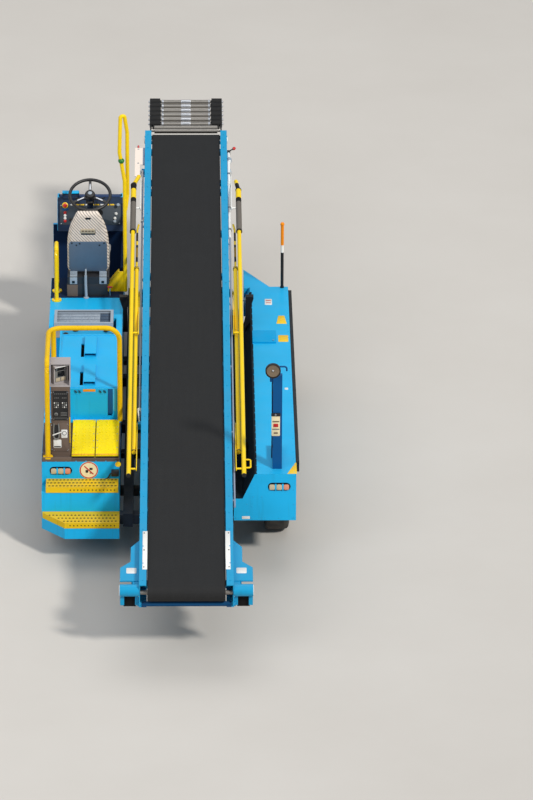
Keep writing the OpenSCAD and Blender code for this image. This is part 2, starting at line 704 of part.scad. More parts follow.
// Upright guides beside the conveyor, widened outward at the top; the right one stands on the slope
guide_y = 860;
guide_d = 55;
guide_w = 40;
guide_top = 1048;
slope_run = 100;
function slope_z(x) = ledge_z + (right_z - ledge_z) * (x + slope_run) / slope_run + 3 * seat_gap;
module guide(foot_in, foot_out) wall(guide_y, guide_y + guide_d) polygon([
  [0, foot_in], [0, guide_top], [guide_w + 28, guide_top], [guide_w + 28, guide_top - 22],
  [guide_w, guide_top - 110], [guide_w, foot_out]
]);
module boom_guides() color(black) on_chassis() {
  mirror([1, 0, 0]) translate([left_inner_x - seat_gap - guide_w, 0, 0])
    guide(seat_deck_z - 80, seat_deck_z - 80);
  translate([right_top_x - 4 - guide_w, 0, 0]) guide(slope_z(-4 - guide_w), slope_z(-4));
}

// Axles and wheels
axle_r = 45;
stub_r = 24;
king_r = 15;
beam_drop = 120;
diff_r = 100;
diff_x = -150;
module front_axle() color(black) on_chassis() translate([0, front_axle_y, axle_z]) union() {
  span([-kingpin_x - 40, -45, -beam_drop], [kingpin_x + 40, 45, -75]);
  for (x = [rail_left_x, rail_right_x]) span([x, -60, -76], [x + rail_w, 60, body_z - axle_z - seat_gap]);
  for (x = [-kingpin_x, kingpin_x]) translate([x, 0, -76]) cylinder(r = king_r, h = 90);
}
module rear_axle() color(black) on_chassis()
  translate([0, -rear_axle_y, axle_z]) rotate([0, 90, 0]) rotate_extrude() polygon([
    [0, 60 - wheel_x], [axle_r, 60 - wheel_x], [axle_r, diff_x - 70], [diff_r - 12, diff_x - 55],
    [diff_r, diff_x - 30], [diff_r, diff_x + 30], [diff_r - 12, diff_x + 55], [axle_r, diff_x + 70],
    [axle_r, wheel_x - 60], [0, wheel_x - 60]
  ]);
module knuckle() difference() {
  union() {
    translate([kingpin_x, front_axle_y, axle_z - 75 + seat_gap]) cylinder(r = 38, h = 130);
    shaft(kingpin_x, wheel_x - 32, front_axle_y, axle_z, stub_r);
  }
  translate([kingpin_x, front_axle_y, axle_z - 77]) cylinder(r = king_r + bore_gap, h = 100);
}
module knuckle_left() color(grey) on_chassis() mirror([1, 0, 0]) knuckle();
module knuckle_right() color(grey) on_chassis() knuckle();

module tyre() rotate([0, 90, 0]) rotate_extrude() polygon([
  [rim_r + 4, 8 - tyre_w / 2], [rim_r + 40, 2 - tyre_w / 2], [tyre_r - 45, -tyre_w / 2],
  [tyre_r - 20, 6 - tyre_w / 2], [tyre_r - 8, 18 - tyre_w / 2], [tyre_r, 42 - tyre_w / 2],
  [tyre_r, tyre_w / 2 - 42], [tyre_r - 8, tyre_w / 2 - 18], [tyre_r - 20, tyre_w / 2 - 6],
  [tyre_r - 45, tyre_w / 2], [rim_r + 40, tyre_w / 2 - 2], [rim_r + 4, tyre_w / 2 - 8]
]);
module rim(bore) rotate([0, 90, 0]) difference() {
  union() {
    difference() {
      cylinder(r = rim_r + 4 - seat_gap, h = tyre_w - 30, center = true);
      cylinder(r = rim_r - 8, h = tyre_w, center = true);
    }
    translate([0, 0, 10]) cylinder(r = rim_r - 7, h = 12);
    translate([0, 0, -40]) cylinder(r = 70, h = 90);
  }
  translate([0, 0, -60]) cylinder(r = bore + bore_gap, h = 90);
  for (a = [0:45:315]) rotate([0, 0, a]) translate([130, 0, -100]) cylinder(r = 22, h = 200);
}
module at_wheel(x, y) on_chassis() translate([x, y, axle_z]) rotate([0, 0, x < 0 ? 180 : 0]) children();
module rim_fl() color("white") at_wheel(-wheel_x, front_axle_y) rim(stub_r);
module rim_fr() color("white") at_wheel(wheel_x, front_axle_y) rim(stub_r);
module rim_rl() color("white") at_wheel(-wheel_x, -rear_axle_y) rim(axle_r);
module rim_rr() color("white") at_wheel(wheel_x, -rear_axle_y) rim(axle_r);
module tyre_fl() color("dimgray") at_wheel(-wheel_x, front_axle_y) tyre();
module tyre_fr() color("dimgray") at_wheel(wheel_x, front_axle_y) tyre();
module tyre_rl() color("dimgray") at_wheel(-wheel_x, -rear_axle_y) tyre();
module tyre_rr() color("dimgray") at_wheel(wheel_x, -rear_axle_y) tyre();

// Lift: two arms with the trunnion shaft, the parallel link, the carrier and the cylinders
trunnion_half = 290;
arm_l = norm(trunnion - arm_pivot);
lug_rise = 55;
module arm_lug(x) along(arm_pivot, trunnion)
  translate([0, arm_l / 2, 0]) flat_link(x, x + lug_t, [0, 0], [0, -lug_rise], 26);
module lift_arm() color(dark_blue) on_lift() {
  difference() {
    union() {
      both_sides() union() {
        flat_link(arm_x, arm_x + arm_t, arm_pivot, trunnion, arm_half);
        arm_lug(arm_x);
      }
      shaft(seat_gap - arm_x, arm_x - seat_gap, arm_pivot.x, arm_pivot.y, 40);
    }
    shaft(-arm_x - arm_t - 1, arm_x + arm_t + 1, arm_pivot.x, arm_pivot.y, pin_r + bore_gap);
    shaft(-arm_x - arm_t - 1, arm_x + arm_t + 1, trunnion.x, trunnion.y, pin_r + bore_gap);
  }
  shaft(-trunnion_half, trunnion_half, trunnion.x, trunnion.y, pin_r);
  both_sides() union() {
    for (x = [lift_x - lug_gap - lug_t, lift_x + lug_gap]) arm_lug(x);
    along(arm_pivot, trunnion)
      shaft(lift_x - lug_gap - lug_t, arm_x - seat_gap, arm_l / 2, -lug_rise, 16);
  }
}
module lift_link() color(dark_blue) on_lift() difference() {
  both_sides() flat_link(link_x, link_x + link_t, link_pivot, link_end, link_half);
  for (p = [link_pivot, link_end]) shaft(-link_x - 20, link_x + 20, p.x, p.y, small_pin_r + bore_gap);
}
module boom_carrier() color(dark_blue) on_lift() difference() {
  union() {
    both_sides() {
      slab(carrier_x, carrier_x + carrier_t, [
        trunnion + [-24, 22], trunnion + [24, 22], tilt_foot + [30, 30], tilt_foot + [30, -30],
        tilt_foot + [-30, -30], link_end + [-40, -30]
      ]);
      shaft(carrier_x + 1, link_x + link_t, link_end.x, link_end.y, small_pin_r);
    }
    shaft(-carrier_x - 1, carrier_x + 1, trunnion.x, trunnion.y, 30);
    shaft(-carrier_x - 1, carrier_x + 1, tilt_foot.x, tilt_foot.y, small_pin_r);
  }
  shaft(-carrier_x - 20, carrier_x + 20, trunnion.x, trunnion.y, pin_r + bore_gap);
}

// A cylinder barrel hinged at a with its mouth towards b, and the rod whose eye lies at b
mouth_gap = 60;
rod_start = 95;
tilt_barrel_r = 38;
module barrel(a, b, r) along(a, b) difference() {
  union() {
    spindle(0, 26, norm(b - a) - mouth_gap, 0, r);
    spindle(0, norm(b - a) - mouth_gap - 30, norm(b - a) - mouth_gap - 5, 0, r + 3);
    shaft(-eye_half, eye_half, 0, 0, 28);
  }
  spindle(0, 50, norm(b - a), 0, rod_r + bore_gap);
  shaft(-eye_half - 10, eye_half + 10, 0, 0, small_pin_r + bore_gap);
}
module piston_rod(a, b) along(a, b) {
  spindle(0, rod_start, norm(b - a) - 10, 0, rod_r);
  shaft(-eye_half, eye_half, norm(b - a), 0, eye_r);
}
module lift_barrels() color(black) on_lift() for (x = [-lift_x, lift_x])
  translate([x, 0, 0]) barrel(lift_foot, lift_eye, barrel_r);
module lift_rods() color("lightgray") on_lift() for (x = [-lift_x, lift_x])
  translate([x, 0, 0]) piston_rod(lift_foot, lift_eye);
module tilt_barrel() color(black) on_lift() barrel(tilt_foot, tilt_eye, tilt_barrel_r);
module tilt_rod() color("lightgray") on_lift() piston_rod(tilt_foot, tilt_eye);

// Conveyor frame: two channels, the bed, cross members, lugs, rail brackets and the tail bumpers
bed_top = -belt_t - seat_gap;
inner_x = belt_w / 2 + 8;
rail_front = belt_l / 2 - 10;
rail_rear = 30 - belt_l / 2;
tail_s = 70 - belt_l / 2;
tail_x = frame_half + tail_w;
bracket_x = frame_half + 28;
base_pin_r = 10;
post_x = [frame_half + 29, frame_half + 36];
post_half = 20;
post_base_w = -60;
post_bases = [2700 - belt_l / 2, belt_l / 2 - 3000, belt_l / 2 - 700];
function cross_places() = [for (s = [450 - belt_l / 2:800:belt_l / 2]) s];
module along_conveyor(s0, s1) wall(s0, s1) children();
module side_frame() along_conveyor(rail_rear, rail_front) union() {
  translate([frame_half - sheet_t, frame_bottom]) square([sheet_t, frame_h]);
  translate([inner_x, frame_rise - sheet_t]) square([frame_half - inner_x, sheet_t]);
  translate([inner_x, frame_bottom]) square([frame_half - inner_x, sheet_t]);
}
module tail_corner() {
  translate([0, 0, -40]) linear_extrude(10) polygon([
    [frame_half - 1, tail_s + 730], [frame_half + 69, tail_s + 620], [frame_half + 69, tail_s + 400],
    [tail_x, tail_s + 310], [tail_x, tail_s + 110], [frame_half - 1, tail_s + 110]
  ]);
  for (s = [tail_s + 110, tail_s + 390]) span([frame_half - 1, s, -130], [frame_half + 60, s + 10, -35]);
  shaft(frame_half - 1, tail_x, tail_s, -50, bumper_r);
  span([frame_half - 1, tail_s - 5, -60], [frame_half + 50, tail_s + 115, -36]);
  for (x = [frame_half - 1, tail_x - 34]) span([x, tail_s - 10, -180], [x + 32, tail_s + 10, -60]);
}
module lug(x, t, s, depth) both_sides() slab(x, x + t, [
  [s - 60, frame_bottom + 2], [s + 60, frame_bottom + 2], [s + 34, depth - 30], [s - 34, depth - 30]
]);
module boom_frame() color(blue) on_boom() difference() {
  union() {
    both_sides() {
      side_frame();
      tail_corner();
      for (s = post_bases) {
        span([frame_half - 1, s - 30, post_base_w - 25], [bracket_x, s + 30, post_base_w + 25]);
        shaft(bracket_x - 1, post_x[1], s, post_base_w, base_pin_r);
      }
    }
    span([-belt_w / 2 - 2, 5 - belt_l / 2 + 2 * belt_turn_r, bed_top - 3],
      [belt_w / 2 + 2, belt_l / 2 - 2 * belt_turn_r - 5, bed_top]);
    for (s = cross_places())
      span([1 - frame_half, s - 30, bed_top - 45], [frame_half - 1, s + 30, bed_top - 2]);
    for (s = [350 - belt_l / 2, -trunnion_s, -tilt_eye_s, belt_l / 2 - 2750, belt_l / 2 - 700])
      span([1 - frame_half, s - 40, frame_bottom], [frame_half - 1, s + 40, frame_bottom + 28]);
    shaft(-frame_half - 15, frame_half + 15, tail_s - 5, -170, 20);
    lug(255, 25, -trunnion_s, -trunnion_w);
    lug(44, 12, -tilt_eye_s, -tilt_eye_w);
  }
  shaft(-400, 400, -trunnion_s, -trunnion_w, pin_r + bore_gap);
}

module stadium(r) union() {
  square([2 * drum_s, 2 * r], center = true);
  for (s = [-drum_s, drum_s]) translate([s, 0]) circle(r = r);
}
module belt() color("darkslategray") on_boom() translate([-belt_w / 2, 0, -belt_turn_r])
  rotate([90, 0, 90]) linear_extrude(belt_w) difference() {
    stadium(belt_turn_r);
    stadium(belt_turn_r - belt_t);
  }

// Two drums inside the belt and the two wide rollers ahead of it
wide_half = belt_w / 2 - 18;
axis_r = 9;
plate_x = inner_x + 2;
plate_side_t = 12;
module belt_rollers() color(grey) on_boom() {
  for (s = [-drum_s, drum_s]) {
    shaft(-belt_w / 2, belt_w / 2, s, -belt_turn_r, belt_turn_r - belt_t - seat_gap);
    shaft(sheet_t + seat_gap - frame_half, frame_half - sheet_t - seat_gap, s, -belt_turn_r, 18);
  }
  for (i = [0, 1]) {
    shaft(-wide_half, wide_half, belt_l / 2 + wide_s[i], wide_w, wide_roller_r);
    shaft(seat_gap - plate_x, plate_x - seat_gap, belt_l / 2 + wide_s[i], wide_w, axis_r);
  }
}
// Dark plates at the head that carry the wide rollers
module head_fittings() color(black) on_boom() both_sides() {
  flat_link(plate_x, plate_x + plate_side_t, [belt_l / 2 + 30, wide_w], [head_end, wide_w], 26);
  slab(plate_x, plate_x + plate_side_t, [
    [rail_front + seat_gap, -150], [belt_l / 2 + 30, wide_w - 26], [belt_l / 2 + 30, wide_w + 26],
    [rail_front + seat_gap, 10]
  ]);
  span([plate_x, rail_front + seat_gap, -150], [frame_half, rail_front + 12, 10]);
}

// Folding nose: two steel plates with rubber cheeks, and its rollers
nose_in = roller_half + 4;
nose_plate_t = 8;
cheek_out = 330;
function nose_places() = [for (i = [0:roller_count - 1]) first_roller + i * roller_pitch];
module on_nose() on_boom() translate([0, head_end, wide_w]) children();
module nose_frame() color(black) on_nose() difference() {
  union() {
    for (s = [first_roller + roller_pitch / 2, nose_reach - roller_pitch / 2])
      span([-nose_in - 1, s - 5, -14], [nose_in + 1, s + 5, -2]);
    both_sides() nose_side();
  }
  shaft(-400, 400, 0, 0, axis_r + bore_gap);
  for (s = nose_places()) shaft(-400, 400, s, 0, axis_r + bore_gap);
}
module nose_side() union() {
  flat_link(nose_in, nose_in + nose_plate_t, [50, 0], [nose_reach, 0], 17);
  for (s = nose_places()) shaft(nose_in + nose_plate_t - 1, cheek_out, s, 0, cheek_r);
  span([nose_in + nose_plate_t - 1, 50, -16], [cheek_out, nose_reach, 16]);
  slab(wide_half + 4, wide_half + 14, [[0, -14], [60, -14], [60, 14], [0, 14]]);
  shaft(wide_half + 4, wide_half + 14, 0, 0, 16);
}
module nose_rollers() color(grey) on_nose() for (s = nose_places()) {
  shaft(-roller_half, roller_half, s, 0, roller_r);
  shaft(-nose_in - 40, nose_in + 40, s, 0, axis_r);
}

// Side tubes with clips, the plate at the left of the head and the pale hose pipe at the right
side_tube_x = frame_half + 16;
side_tube_r = 8;
side_tube_w = -20;
hose_r = 12;
hose_x = frame_half + hose_r + seat_gap;
hose_s = [belt_l / 2 - 2050, belt_l / 2 - 500];
module side_tube(s0, s1) {
  spindle(side_tube_x, s0, s1, side_tube_w, side_tube_r);
  for (s = [s0 + 100:(s1 - s0 - 200) / 4:s1]) span([frame_half + seat_gap, s - 10, side_tube_w - 6],
    [side_tube_x - 2, s + 10, side_tube_w + 6]);
}
module boom_fittings() color(grey) on_boom() {
  mirror([1, 0, 0]) side_tube(-900, belt_l / 2 - 740);
  side_tube(1300 - belt_l / 2, hose_s[0] - 12);
  mirror([1, 0, 0]) translate([0, belt_l / 2, -8]) linear_extrude(8) polygon([
    [frame_half + seat_gap, -655], [frame_half + seat_gap, -320], [frame_half + 89, -320],
    [frame_half + 89, -880], [frame_half + 42, -940], [frame_half + 42, -655]
  ]);
  union() {
    spindle(hose_x, hose_s[0], hose_s[1], side_tube_w, hose_r);
    spindle(hose_x + 8, hose_s[1] - 75, hose_s[1] + 5, side_tube_w, hose_r + 5);
  }
}

// Handrails, each a parallelogram of three posts and two tubes
post_tip = post_l * [-cos(post_fold), sin(post_fold)];
top_w = post_base_w + post_tip.y;
mid_w = post_base_w + post_tip.y / 2;
mid_x = post_x[1] + 3 + hand_tube_r;
top_x = mid_x + 2 * hand_tube_r + 2;
rail_pin_r = 8;
module post(i) {
  base = [post_bases[i], post_base_w];
  reach = i == 2 ? foam_r : hand_tube_r;
  difference() {
    union() {
      flat_link(post_x[0], post_x[1], base, base + post_tip, post_half);
      shaft(post_x[1] - 1, top_x - reach - seat_gap, base.x + post_tip.x, top_w, rail_pin_r);
      if (i < 2)
        shaft(post_x[1] - 1, mid_x - hand_tube_r - seat_gap, base.x + post_tip.x / 2, mid_w, rail_pin_r);
    }
    shaft(0, 600, base.x, post_base_w, base_pin_r + bore_gap);
  }
}
module post_left_1() color(yellow) on_boom() mirror([1, 0, 0]) post(0);
module post_left_2() color(yellow) on_boom() mirror([1, 0, 0]) post(1);
module post_left_3() color(yellow) on_boom() mirror([1, 0, 0]) post(2);
module post_right_1() color(yellow) on_boom() post(0);
module post_right_2() color(yellow) on_boom() post(1);
module post_right_3() color(yellow) on_boom() post(2);

hand_rear = 1700 - belt_l / 2;
mid_rear = 2160 - belt_l / 2;
foam_rear = belt_l / 2 - 2040;
thin_s = belt_l / 2 - 2640;
thin_r = 9;
module hand_rail(foam0, foam1, hook) union() {
  bent_tube([
    [top_x, hand_rear, top_w], [top_x, foam1, top_w], [top_x - hook, foam1 + 200, top_w - 18]
  ], hand_tube_r, 160);
  bent_tube([[top_x, foam0, top_w], [top_x, (foam0 + foam1) / 2, top_w], [top_x, foam1 - 20, top_w + 0.01]],
    foam_r, 1);
}
module mid_rail() union() {
  spindle(mid_x, mid_rear, thin_s, mid_w, hand_tube_r);
  spindle(mid_x, thin_s - 14, thin_s + 6, mid_w, hand_tube_r + 3);
  bent_tube([
    [mid_x, thin_s, mid_w], [mid_x, thin_s + 720, mid_w], [mid_x - 12, thin_s + 850, mid_w - 15]
  ], thin_r, 90);
}
module rail_left() color(yellow) on_boom() mirror([1, 0, 0])
  hand_rail(foam_rear, belt_l / 2 - 1140, 45);
module rail_right() color(yellow) on_boom() union() {
  hand_rail(foam_rear, belt_l / 2 - 1240, 20);
  bent_tube([[top_x, hand_rear + 120, top_w], [top_x + 55, hand_rear + 120, top_w],
    [top_x + 55, hand_rear + 250, top_w], [top_x, hand_rear + 250, top_w]], 7, 18, 12);
}
module mid_rail_left() color(yellow) on_boom() mirror([1, 0, 0]) mid_rail();
module mid_rail_right() color(yellow) on_boom() mid_rail();

chassis_frame();
left_body();
right_body();
left_hood();
vent_grille();
right_hatch();
platform_plate();
rear_steps();
guard_rail();
control_console();
screen_box();
dash();
steering_wheel();
seat_base();
seat_cushion();
seat_back();
grab_rails();
lamp_post();
work_lamp();
marker_mast();
body_lamps();
side_strip();
power_pack();
boom_guides();
front_axle();
rear_axle();
knuckle_left();
knuckle_right();
rim_fl();
rim_fr();
rim_rl();
rim_rr();
tyre_fl();
tyre_fr();
tyre_rl();
tyre_rr();
lift_arm();
lift_link();
boom_carrier();
lift_barrels();
lift_rods();
tilt_barrel();
tilt_rod();
boom_frame();
belt();
belt_rollers();
boom_fittings();
head_fittings();
nose_frame();
nose_rollers();
post_left_1();
post_left_2();
post_left_3();
rail_left();
mid_rail_left();
post_right_1();
post_right_2();
post_right_3();
rail_right();
mid_rail_right();
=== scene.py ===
import math

import bmesh
import bpy
from bpy.props import FloatProperty, FloatVectorProperty, IntProperty, PointerProperty
from mathutils import Euler, Matrix, Vector


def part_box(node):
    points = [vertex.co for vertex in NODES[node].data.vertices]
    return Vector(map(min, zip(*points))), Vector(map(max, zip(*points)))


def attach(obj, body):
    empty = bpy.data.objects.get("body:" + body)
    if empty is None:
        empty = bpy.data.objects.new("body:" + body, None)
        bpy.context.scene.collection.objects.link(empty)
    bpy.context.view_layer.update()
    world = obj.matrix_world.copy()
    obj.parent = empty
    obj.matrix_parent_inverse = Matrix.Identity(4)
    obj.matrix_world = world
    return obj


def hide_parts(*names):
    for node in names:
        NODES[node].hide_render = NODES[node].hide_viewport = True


bl_info = {
    "name": "Belt Loader Dressing",
    "version": (1, 0, 0),
    "blender": (4, 5, 0),
    "location": "3D View > Sidebar > Belt Loader",
    "description": "Paint, rubber, controls, fasteners and trim over the belt loader's frame",
    "category": "Object",
}

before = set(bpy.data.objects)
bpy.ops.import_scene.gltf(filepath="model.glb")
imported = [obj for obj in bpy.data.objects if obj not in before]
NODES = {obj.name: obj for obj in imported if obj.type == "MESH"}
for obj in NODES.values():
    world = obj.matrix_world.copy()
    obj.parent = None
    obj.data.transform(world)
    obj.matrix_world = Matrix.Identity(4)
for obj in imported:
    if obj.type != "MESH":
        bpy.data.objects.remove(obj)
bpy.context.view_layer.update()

# Axes that the pieces are made in, in millimetres: the chassis, and the conveyor tilted on its trunnion

MM = 0.001
LEFT_SIDE, BODY_REAR = -1035, -2190
SHIFT = Vector((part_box("left_body")[0].x - LEFT_SIDE * MM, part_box("left_body")[0].y - BODY_REAR * MM, 0))
BOOM_TILT = math.radians(4.6)
TRUNNION = Vector((0.145, 0, 1.0))
BOOM = Matrix.Translation(SHIFT + TRUNNION) @ Matrix.Rotation(BOOM_TILT, 4, "X")
CHASSIS = Matrix.Translation(SHIFT)

# Faces of the frame that the trim lies on: heights, then rear faces along y

DECK, LEFT_TOP, RIGHT_TOP, HOOD_TOP, PLATE_TOP = 800, 1000, 815, 1050, 792
PLATFORM_REAR, HOOD_REAR, CONSOLE_REAR, POST_REAR = -1800, -1033, -1745, -2090.5

# Places on the conveyor, in its own axes: the frame's outer face, rails and rollers across, and heights

BOOM_SIDE, RAIL_X, RAIL_W, MID_RAIL_X, MID_RAIL_W = 371, 466, 41.9, 428, -9
HOSE_W, ROLLER_W, SIDE_CAP_W = -20, -25, -70

UP, FORWARD, REARWARD = (0, 0, 1), (0, 1, 0), (0, -1, 0)
SIDES = (-1, 1)


def moved(*place):
    return Matrix.Translation(place)


def turned(degrees, axis):
    return Matrix.Rotation(math.radians(degrees), 4, axis)


# Ways to stand an outline: in x and z with its depth rearwards, and in y and z with its depth to the right

STANDING = turned(90, "X")
SIDE_ON = Matrix(((0, 0, 1, 0), (1, 0, 0, 0), (0, 1, 0, 0), (0, 0, 0, 1)))


def facing(origin, normal, up=UP):
    """A matrix whose z axis points along normal and whose y axis follows up."""
    z = Vector(normal).normalized()
    x = Vector(up).cross(z)
    x = x.normalized() if x.length > 1e-6 else Vector((1, 0, 0))
    return Matrix.Translation(origin) @ Matrix((x, z.cross(x), z)).transposed().to_4x4()


# Mesh building

SHARP_ANGLE = math.radians(35)
LABEL_THICK, LABEL_EDGE = 1.0, 0.2
ROD_EDGE, ROD_FACETS = 0.6, 20
BEND_STEPS = 6


def angles(count):
    return [2 * math.pi * k / count for k in range(count)]


def rounded_outline(w, h, r, steps=4):
    """The outline of a plate with rounded corners, about its middle."""
    out = []
    corners = ((w / 2 - r, h / 2 - r), (r - w / 2, h / 2 - r), (r - w / 2, r - h / 2), (w / 2 - r, r - h / 2))
    for quarter, (cx, cy) in enumerate(corners):
        for k in range(steps + 1):
            a = math.radians(90 * quarter + 90 * k / steps)
            out.append((cx + r * math.cos(a), cy + r * math.sin(a)))
    return out


def bent_path(points, bend):
    """The points of a path whose corners are rounded with the bend radius."""
    path = [points[0]]
    for a, p, b in zip(points, points[1:], points[2:]):
        u, v = (p - a).normalized(), (b - p).normalized()
        angle = u.angle(v)
        if angle < 1e-3:
            path.append(p)
            continue
        reach = min(bend * math.tan(angle / 2), (p - a).length * 0.49, (b - p).length * 0.49)
        start, end = p - u * reach, p + v * reach
        for k in range(BEND_STEPS + 1):
            t = k / BEND_STEPS
            path.append(start * (1 - t) ** 2 + p * 2 * t * (1 - t) + end * t * t)
    return path + [points[-1]]


def bridge(part, a, b):
    """Faces between two rings of corners, where either ring may be a single one."""
    count = max(len(a), len(b))
    for k in range(count):
        n = (k + 1) % count
        if len(a) == 1:
            part.faces.new((a[0], b[k], b[n]))
        elif len(b) == 1:
            part.faces.new((a[k], a[n], b[0]))
        else:
            part.faces.new((a[k], a[n], b[n], b[k]))


def add_object(name, mesh):
    obj = bpy.data.objects.new(name, mesh)
    bpy.context.scene.collection.objects.link(obj)
    return obj


def shade_by_angle(mesh):
    """Keeps the edges that turn more than the limit sharp and shades the rest smooth."""
    bm = bmesh.new()
    bm.from_mesh(mesh)
    for f in bm.faces:
        f.smooth = True
    for e in bm.edges:
        e.smooth = len(e.link_faces) == 2 and e.calc_face_angle(0) < SHARP_ANGLE
    bm.to_mesh(mesh)
    bm.free()


class Maker:
    """Collects the solids of one piece, given in millimetres in the chassis's or the conveyor's axes."""

    def __init__(self, name, axes=CHASSIS):
        self.name, self.axes = name, axes
        self.bm = bmesh.new()
        self.materials = []

    def take(self, part, place, material):
        """Puts a solid in its place and adds it to the piece."""
        part.transform(place)
        bmesh.ops.recalc_face_normals(part, faces=part.faces[:])
        if material not in self.materials:
            self.materials.append(material)
        for f in part.faces:
            f.material_index = self.materials.index(material)
        mesh = bpy.data.meshes.new("part")
        part.to_mesh(mesh)
        part.free()
        self.bm.from_mesh(mesh)
        bpy.data.meshes.remove(mesh)

    def block(self, lo, hi, material, bevel=2.0):
        """A box between two corners, its edges rounded."""
        lo, hi = Vector(lo), Vector(hi)
        size = hi - lo
        part = bmesh.new()
        bmesh.ops.create_cube(part, size=1)
        part.transform(Matrix.Diagonal((*size, 1)))
        bmesh.ops.bevel(part, geom=part.edges[:], offset=min(bevel, min(size) * 0.45), segments=2, affect="EDGES",
                        profile=0.5)
        self.take(part, Matrix.Translation((lo + hi) / 2), material)

    def prism(self, outline, depth, place, material, bevel):
        """An outline in x, y made solid from 0 to depth along z, its edges rounded."""
        part = bmesh.new()
        face = part.faces.new([part.verts.new((x, y, 0)) for x, y in outline])
        made = bmesh.ops.extrude_face_region(part, geom=[face])
        top = [v for v in made["geom"] if isinstance(v, bmesh.types.BMVert)]
        bmesh.ops.translate(part, verts=top, vec=(0, 0, depth))
        bmesh.ops.recalc_face_normals(part, faces=part.faces[:])
        bmesh.ops.bevel(part, geom=part.edges[:], offset=bevel, segments=2, affect="EDGES", profile=0.5,
                        clamp_overlap=True)
        self.take(part, place, material)

    def plate(self, w, h, corner, depth, place, material, bevel):
        """A plate with rounded corners about the middle of its place."""
        self.prism(rounded_outline(w, h, corner), depth, place, material, bevel)

    def label(self, at, normal, w, h, material, up=UP):
        """A blank plate or sticker with rounded corners lying on a face."""
        self.plate(w, h, min(w, h) * 0.12, LABEL_THICK, facing(at, normal, up), material, LABEL_EDGE)

    def lathe(self, profile, place, material, sides=32):
        """A profile of (radius, height) points turned about z: a ring where its ends stand off the axis."""
        part = bmesh.new()
        rings = [[part.verts.new((r * math.cos(a), r * math.sin(a), h)) for a in angles(sides if r else 1)]
                 for r, h in profile]
        is_ring = len(rings[0]) > 1
        for a, b in zip(rings, rings[1:] + rings[:is_ring]):
            bridge(part, a, b)
        self.take(part, place, material)

    def screw(self, at, normal, r, material="zinc"):
        """A low domed head with a hollow for the key."""
        profile = [(0, r * 0.28), (r * 0.42, r * 0.28), (r * 0.48, r * 0.62), (r * 0.8, r * 0.5), (r, r * 0.15),
                   (r, 0), (0, 0)]
        self.lathe(profile, facing(at, normal), material, 12)

    def rod(self, a, b, r, material):
        """A round bar with broken edges."""
        way = Vector(b) - Vector(a)
        length, e = way.length, ROD_EDGE
        place = Matrix.Translation(a) @ way.to_track_quat("Z", "Y").to_matrix().to_4x4()
        self.lathe([(0, 0), (r - e, 0), (r, e), (r, length - e), (r - e, length), (0, length)], place, material,
                   ROD_FACETS)

    def tube(self, points, r, material, sides=12, bend=None):
        """A round tube along points, its corners rounded."""
        path = bent_path([Vector(p) for p in points], bend or 3 * r)
        part = bmesh.new()
        rings, normal = [], None
        for i, p in enumerate(path):
            ahead = (path[min(i + 1, len(path) - 1)] - path[max(i - 1, 0)]).normalized()
            if normal is None:
                normal = ahead.orthogonal().normalized()
            normal = (normal - ahead * normal.dot(ahead)).normalized()
            other = ahead.cross(normal)
            rings.append([part.verts.new(p + r * (normal * math.cos(a) + other * math.sin(a)))
                          for a in angles(sides)])
        for a, b in zip(rings, rings[1:]):
            bridge(part, a, b)
        part.faces.new(rings[0])
        part.faces.new(rings[-1])
        self.take(part, Matrix.Identity(4), material)

    def done(self, body):
        """Makes the piece, which rides on a body."""
        self.bm.transform(self.axes @ Matrix.Scale(MM, 4))
        mesh = bpy.data.meshes.new(self.name)
        self.bm.to_mesh(mesh)
        self.bm.free()
        for material in self.materials:
            mesh.materials.append(MATERIALS[material])
        shade_by_angle(mesh)
        ride(add_object(self.name, mesh), body)


def ride(obj, body):
    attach(obj, body)


def settle(obj):
    """Applies the live modifiers of a piece to its mesh."""
    mesh = bpy.data.meshes.new_from_object(obj.evaluated_get(bpy.context.evaluated_depsgraph_get()))
    old = obj.data
    obj.modifiers.clear()
    obj.data = mesh
    bpy.data.meshes.remove(old)


# Node trees

def new_group(name, inputs, outputs, kind="ShaderNodeTree"):
    """A node group with (name, type, default) inputs and (name, type) outputs."""
    tree = bpy.data.node_groups.new(name, kind)
    for title, data, default in inputs:
        socket = tree.interface.new_socket(name=title, in_out="INPUT", socket_type="NodeSocket" + data)
        if default is not None:
            socket.default_value = default
    for title, data in outputs:
        tree.interface.new_socket(name=title, in_out="OUTPUT", socket_type="NodeSocket" + data)
    return tree, tree.nodes.new("NodeGroupInput").outputs, tree.nodes.new("NodeGroupOutput").inputs


def feed(tree, sockets, values):
    """Links each input to an output, or sets its value."""
    for key, value in values.items():
        if isinstance(value, bpy.types.NodeSocket):
            tree.links.new(value, sockets[key])
        else:
            sockets[key].default_value = value


def node(tree, kind, inputs=None, **settings):
    n = tree.nodes.new(kind)
    for key, value in settings.items():
        setattr(n, key, value)
    feed(tree, n.inputs, inputs or {})
    return n.outputs


def maths(tree, operation, a, b, clamp=False):
    return node(tree, "ShaderNodeMath", {0: a, 1: b}, operation=operation, use_clamp=clamp)[0]


def times(tree, a, b, clamp=False):
    return maths(tree, "MULTIPLY", a, b, clamp)


def plus(tree, a, b, clamp=False):
    return maths(tree, "ADD", a, b, clamp)


def one_less(tree, a):
    return maths(tree, "SUBTRACT", 1.0, a)


def stretched(tree, vector, factors):
    return node(tree, "ShaderNodeVectorMath", {0: vector, 1: factors}, operation="MULTIPLY")[0]


def dot(tree, a, b):
    return node(tree, "ShaderNodeVectorMath", {0: a, 1: b}, operation="DOT_PRODUCT")["Value"]


def noise(tree, vector, scale, detail=3.0, rough=0.5):
    values = {"Vector": vector, "Scale": scale, "Detail": detail, "Roughness": rough}
    return node(tree, "ShaderNodeTexNoise", values)[0]


def cells(tree, vector, scale, random, **settings):
    values = {"Vector": vector, "Scale": scale, "Randomness": random}
    return node(tree, "ShaderNodeTexVoronoi", values, **settings)[0]


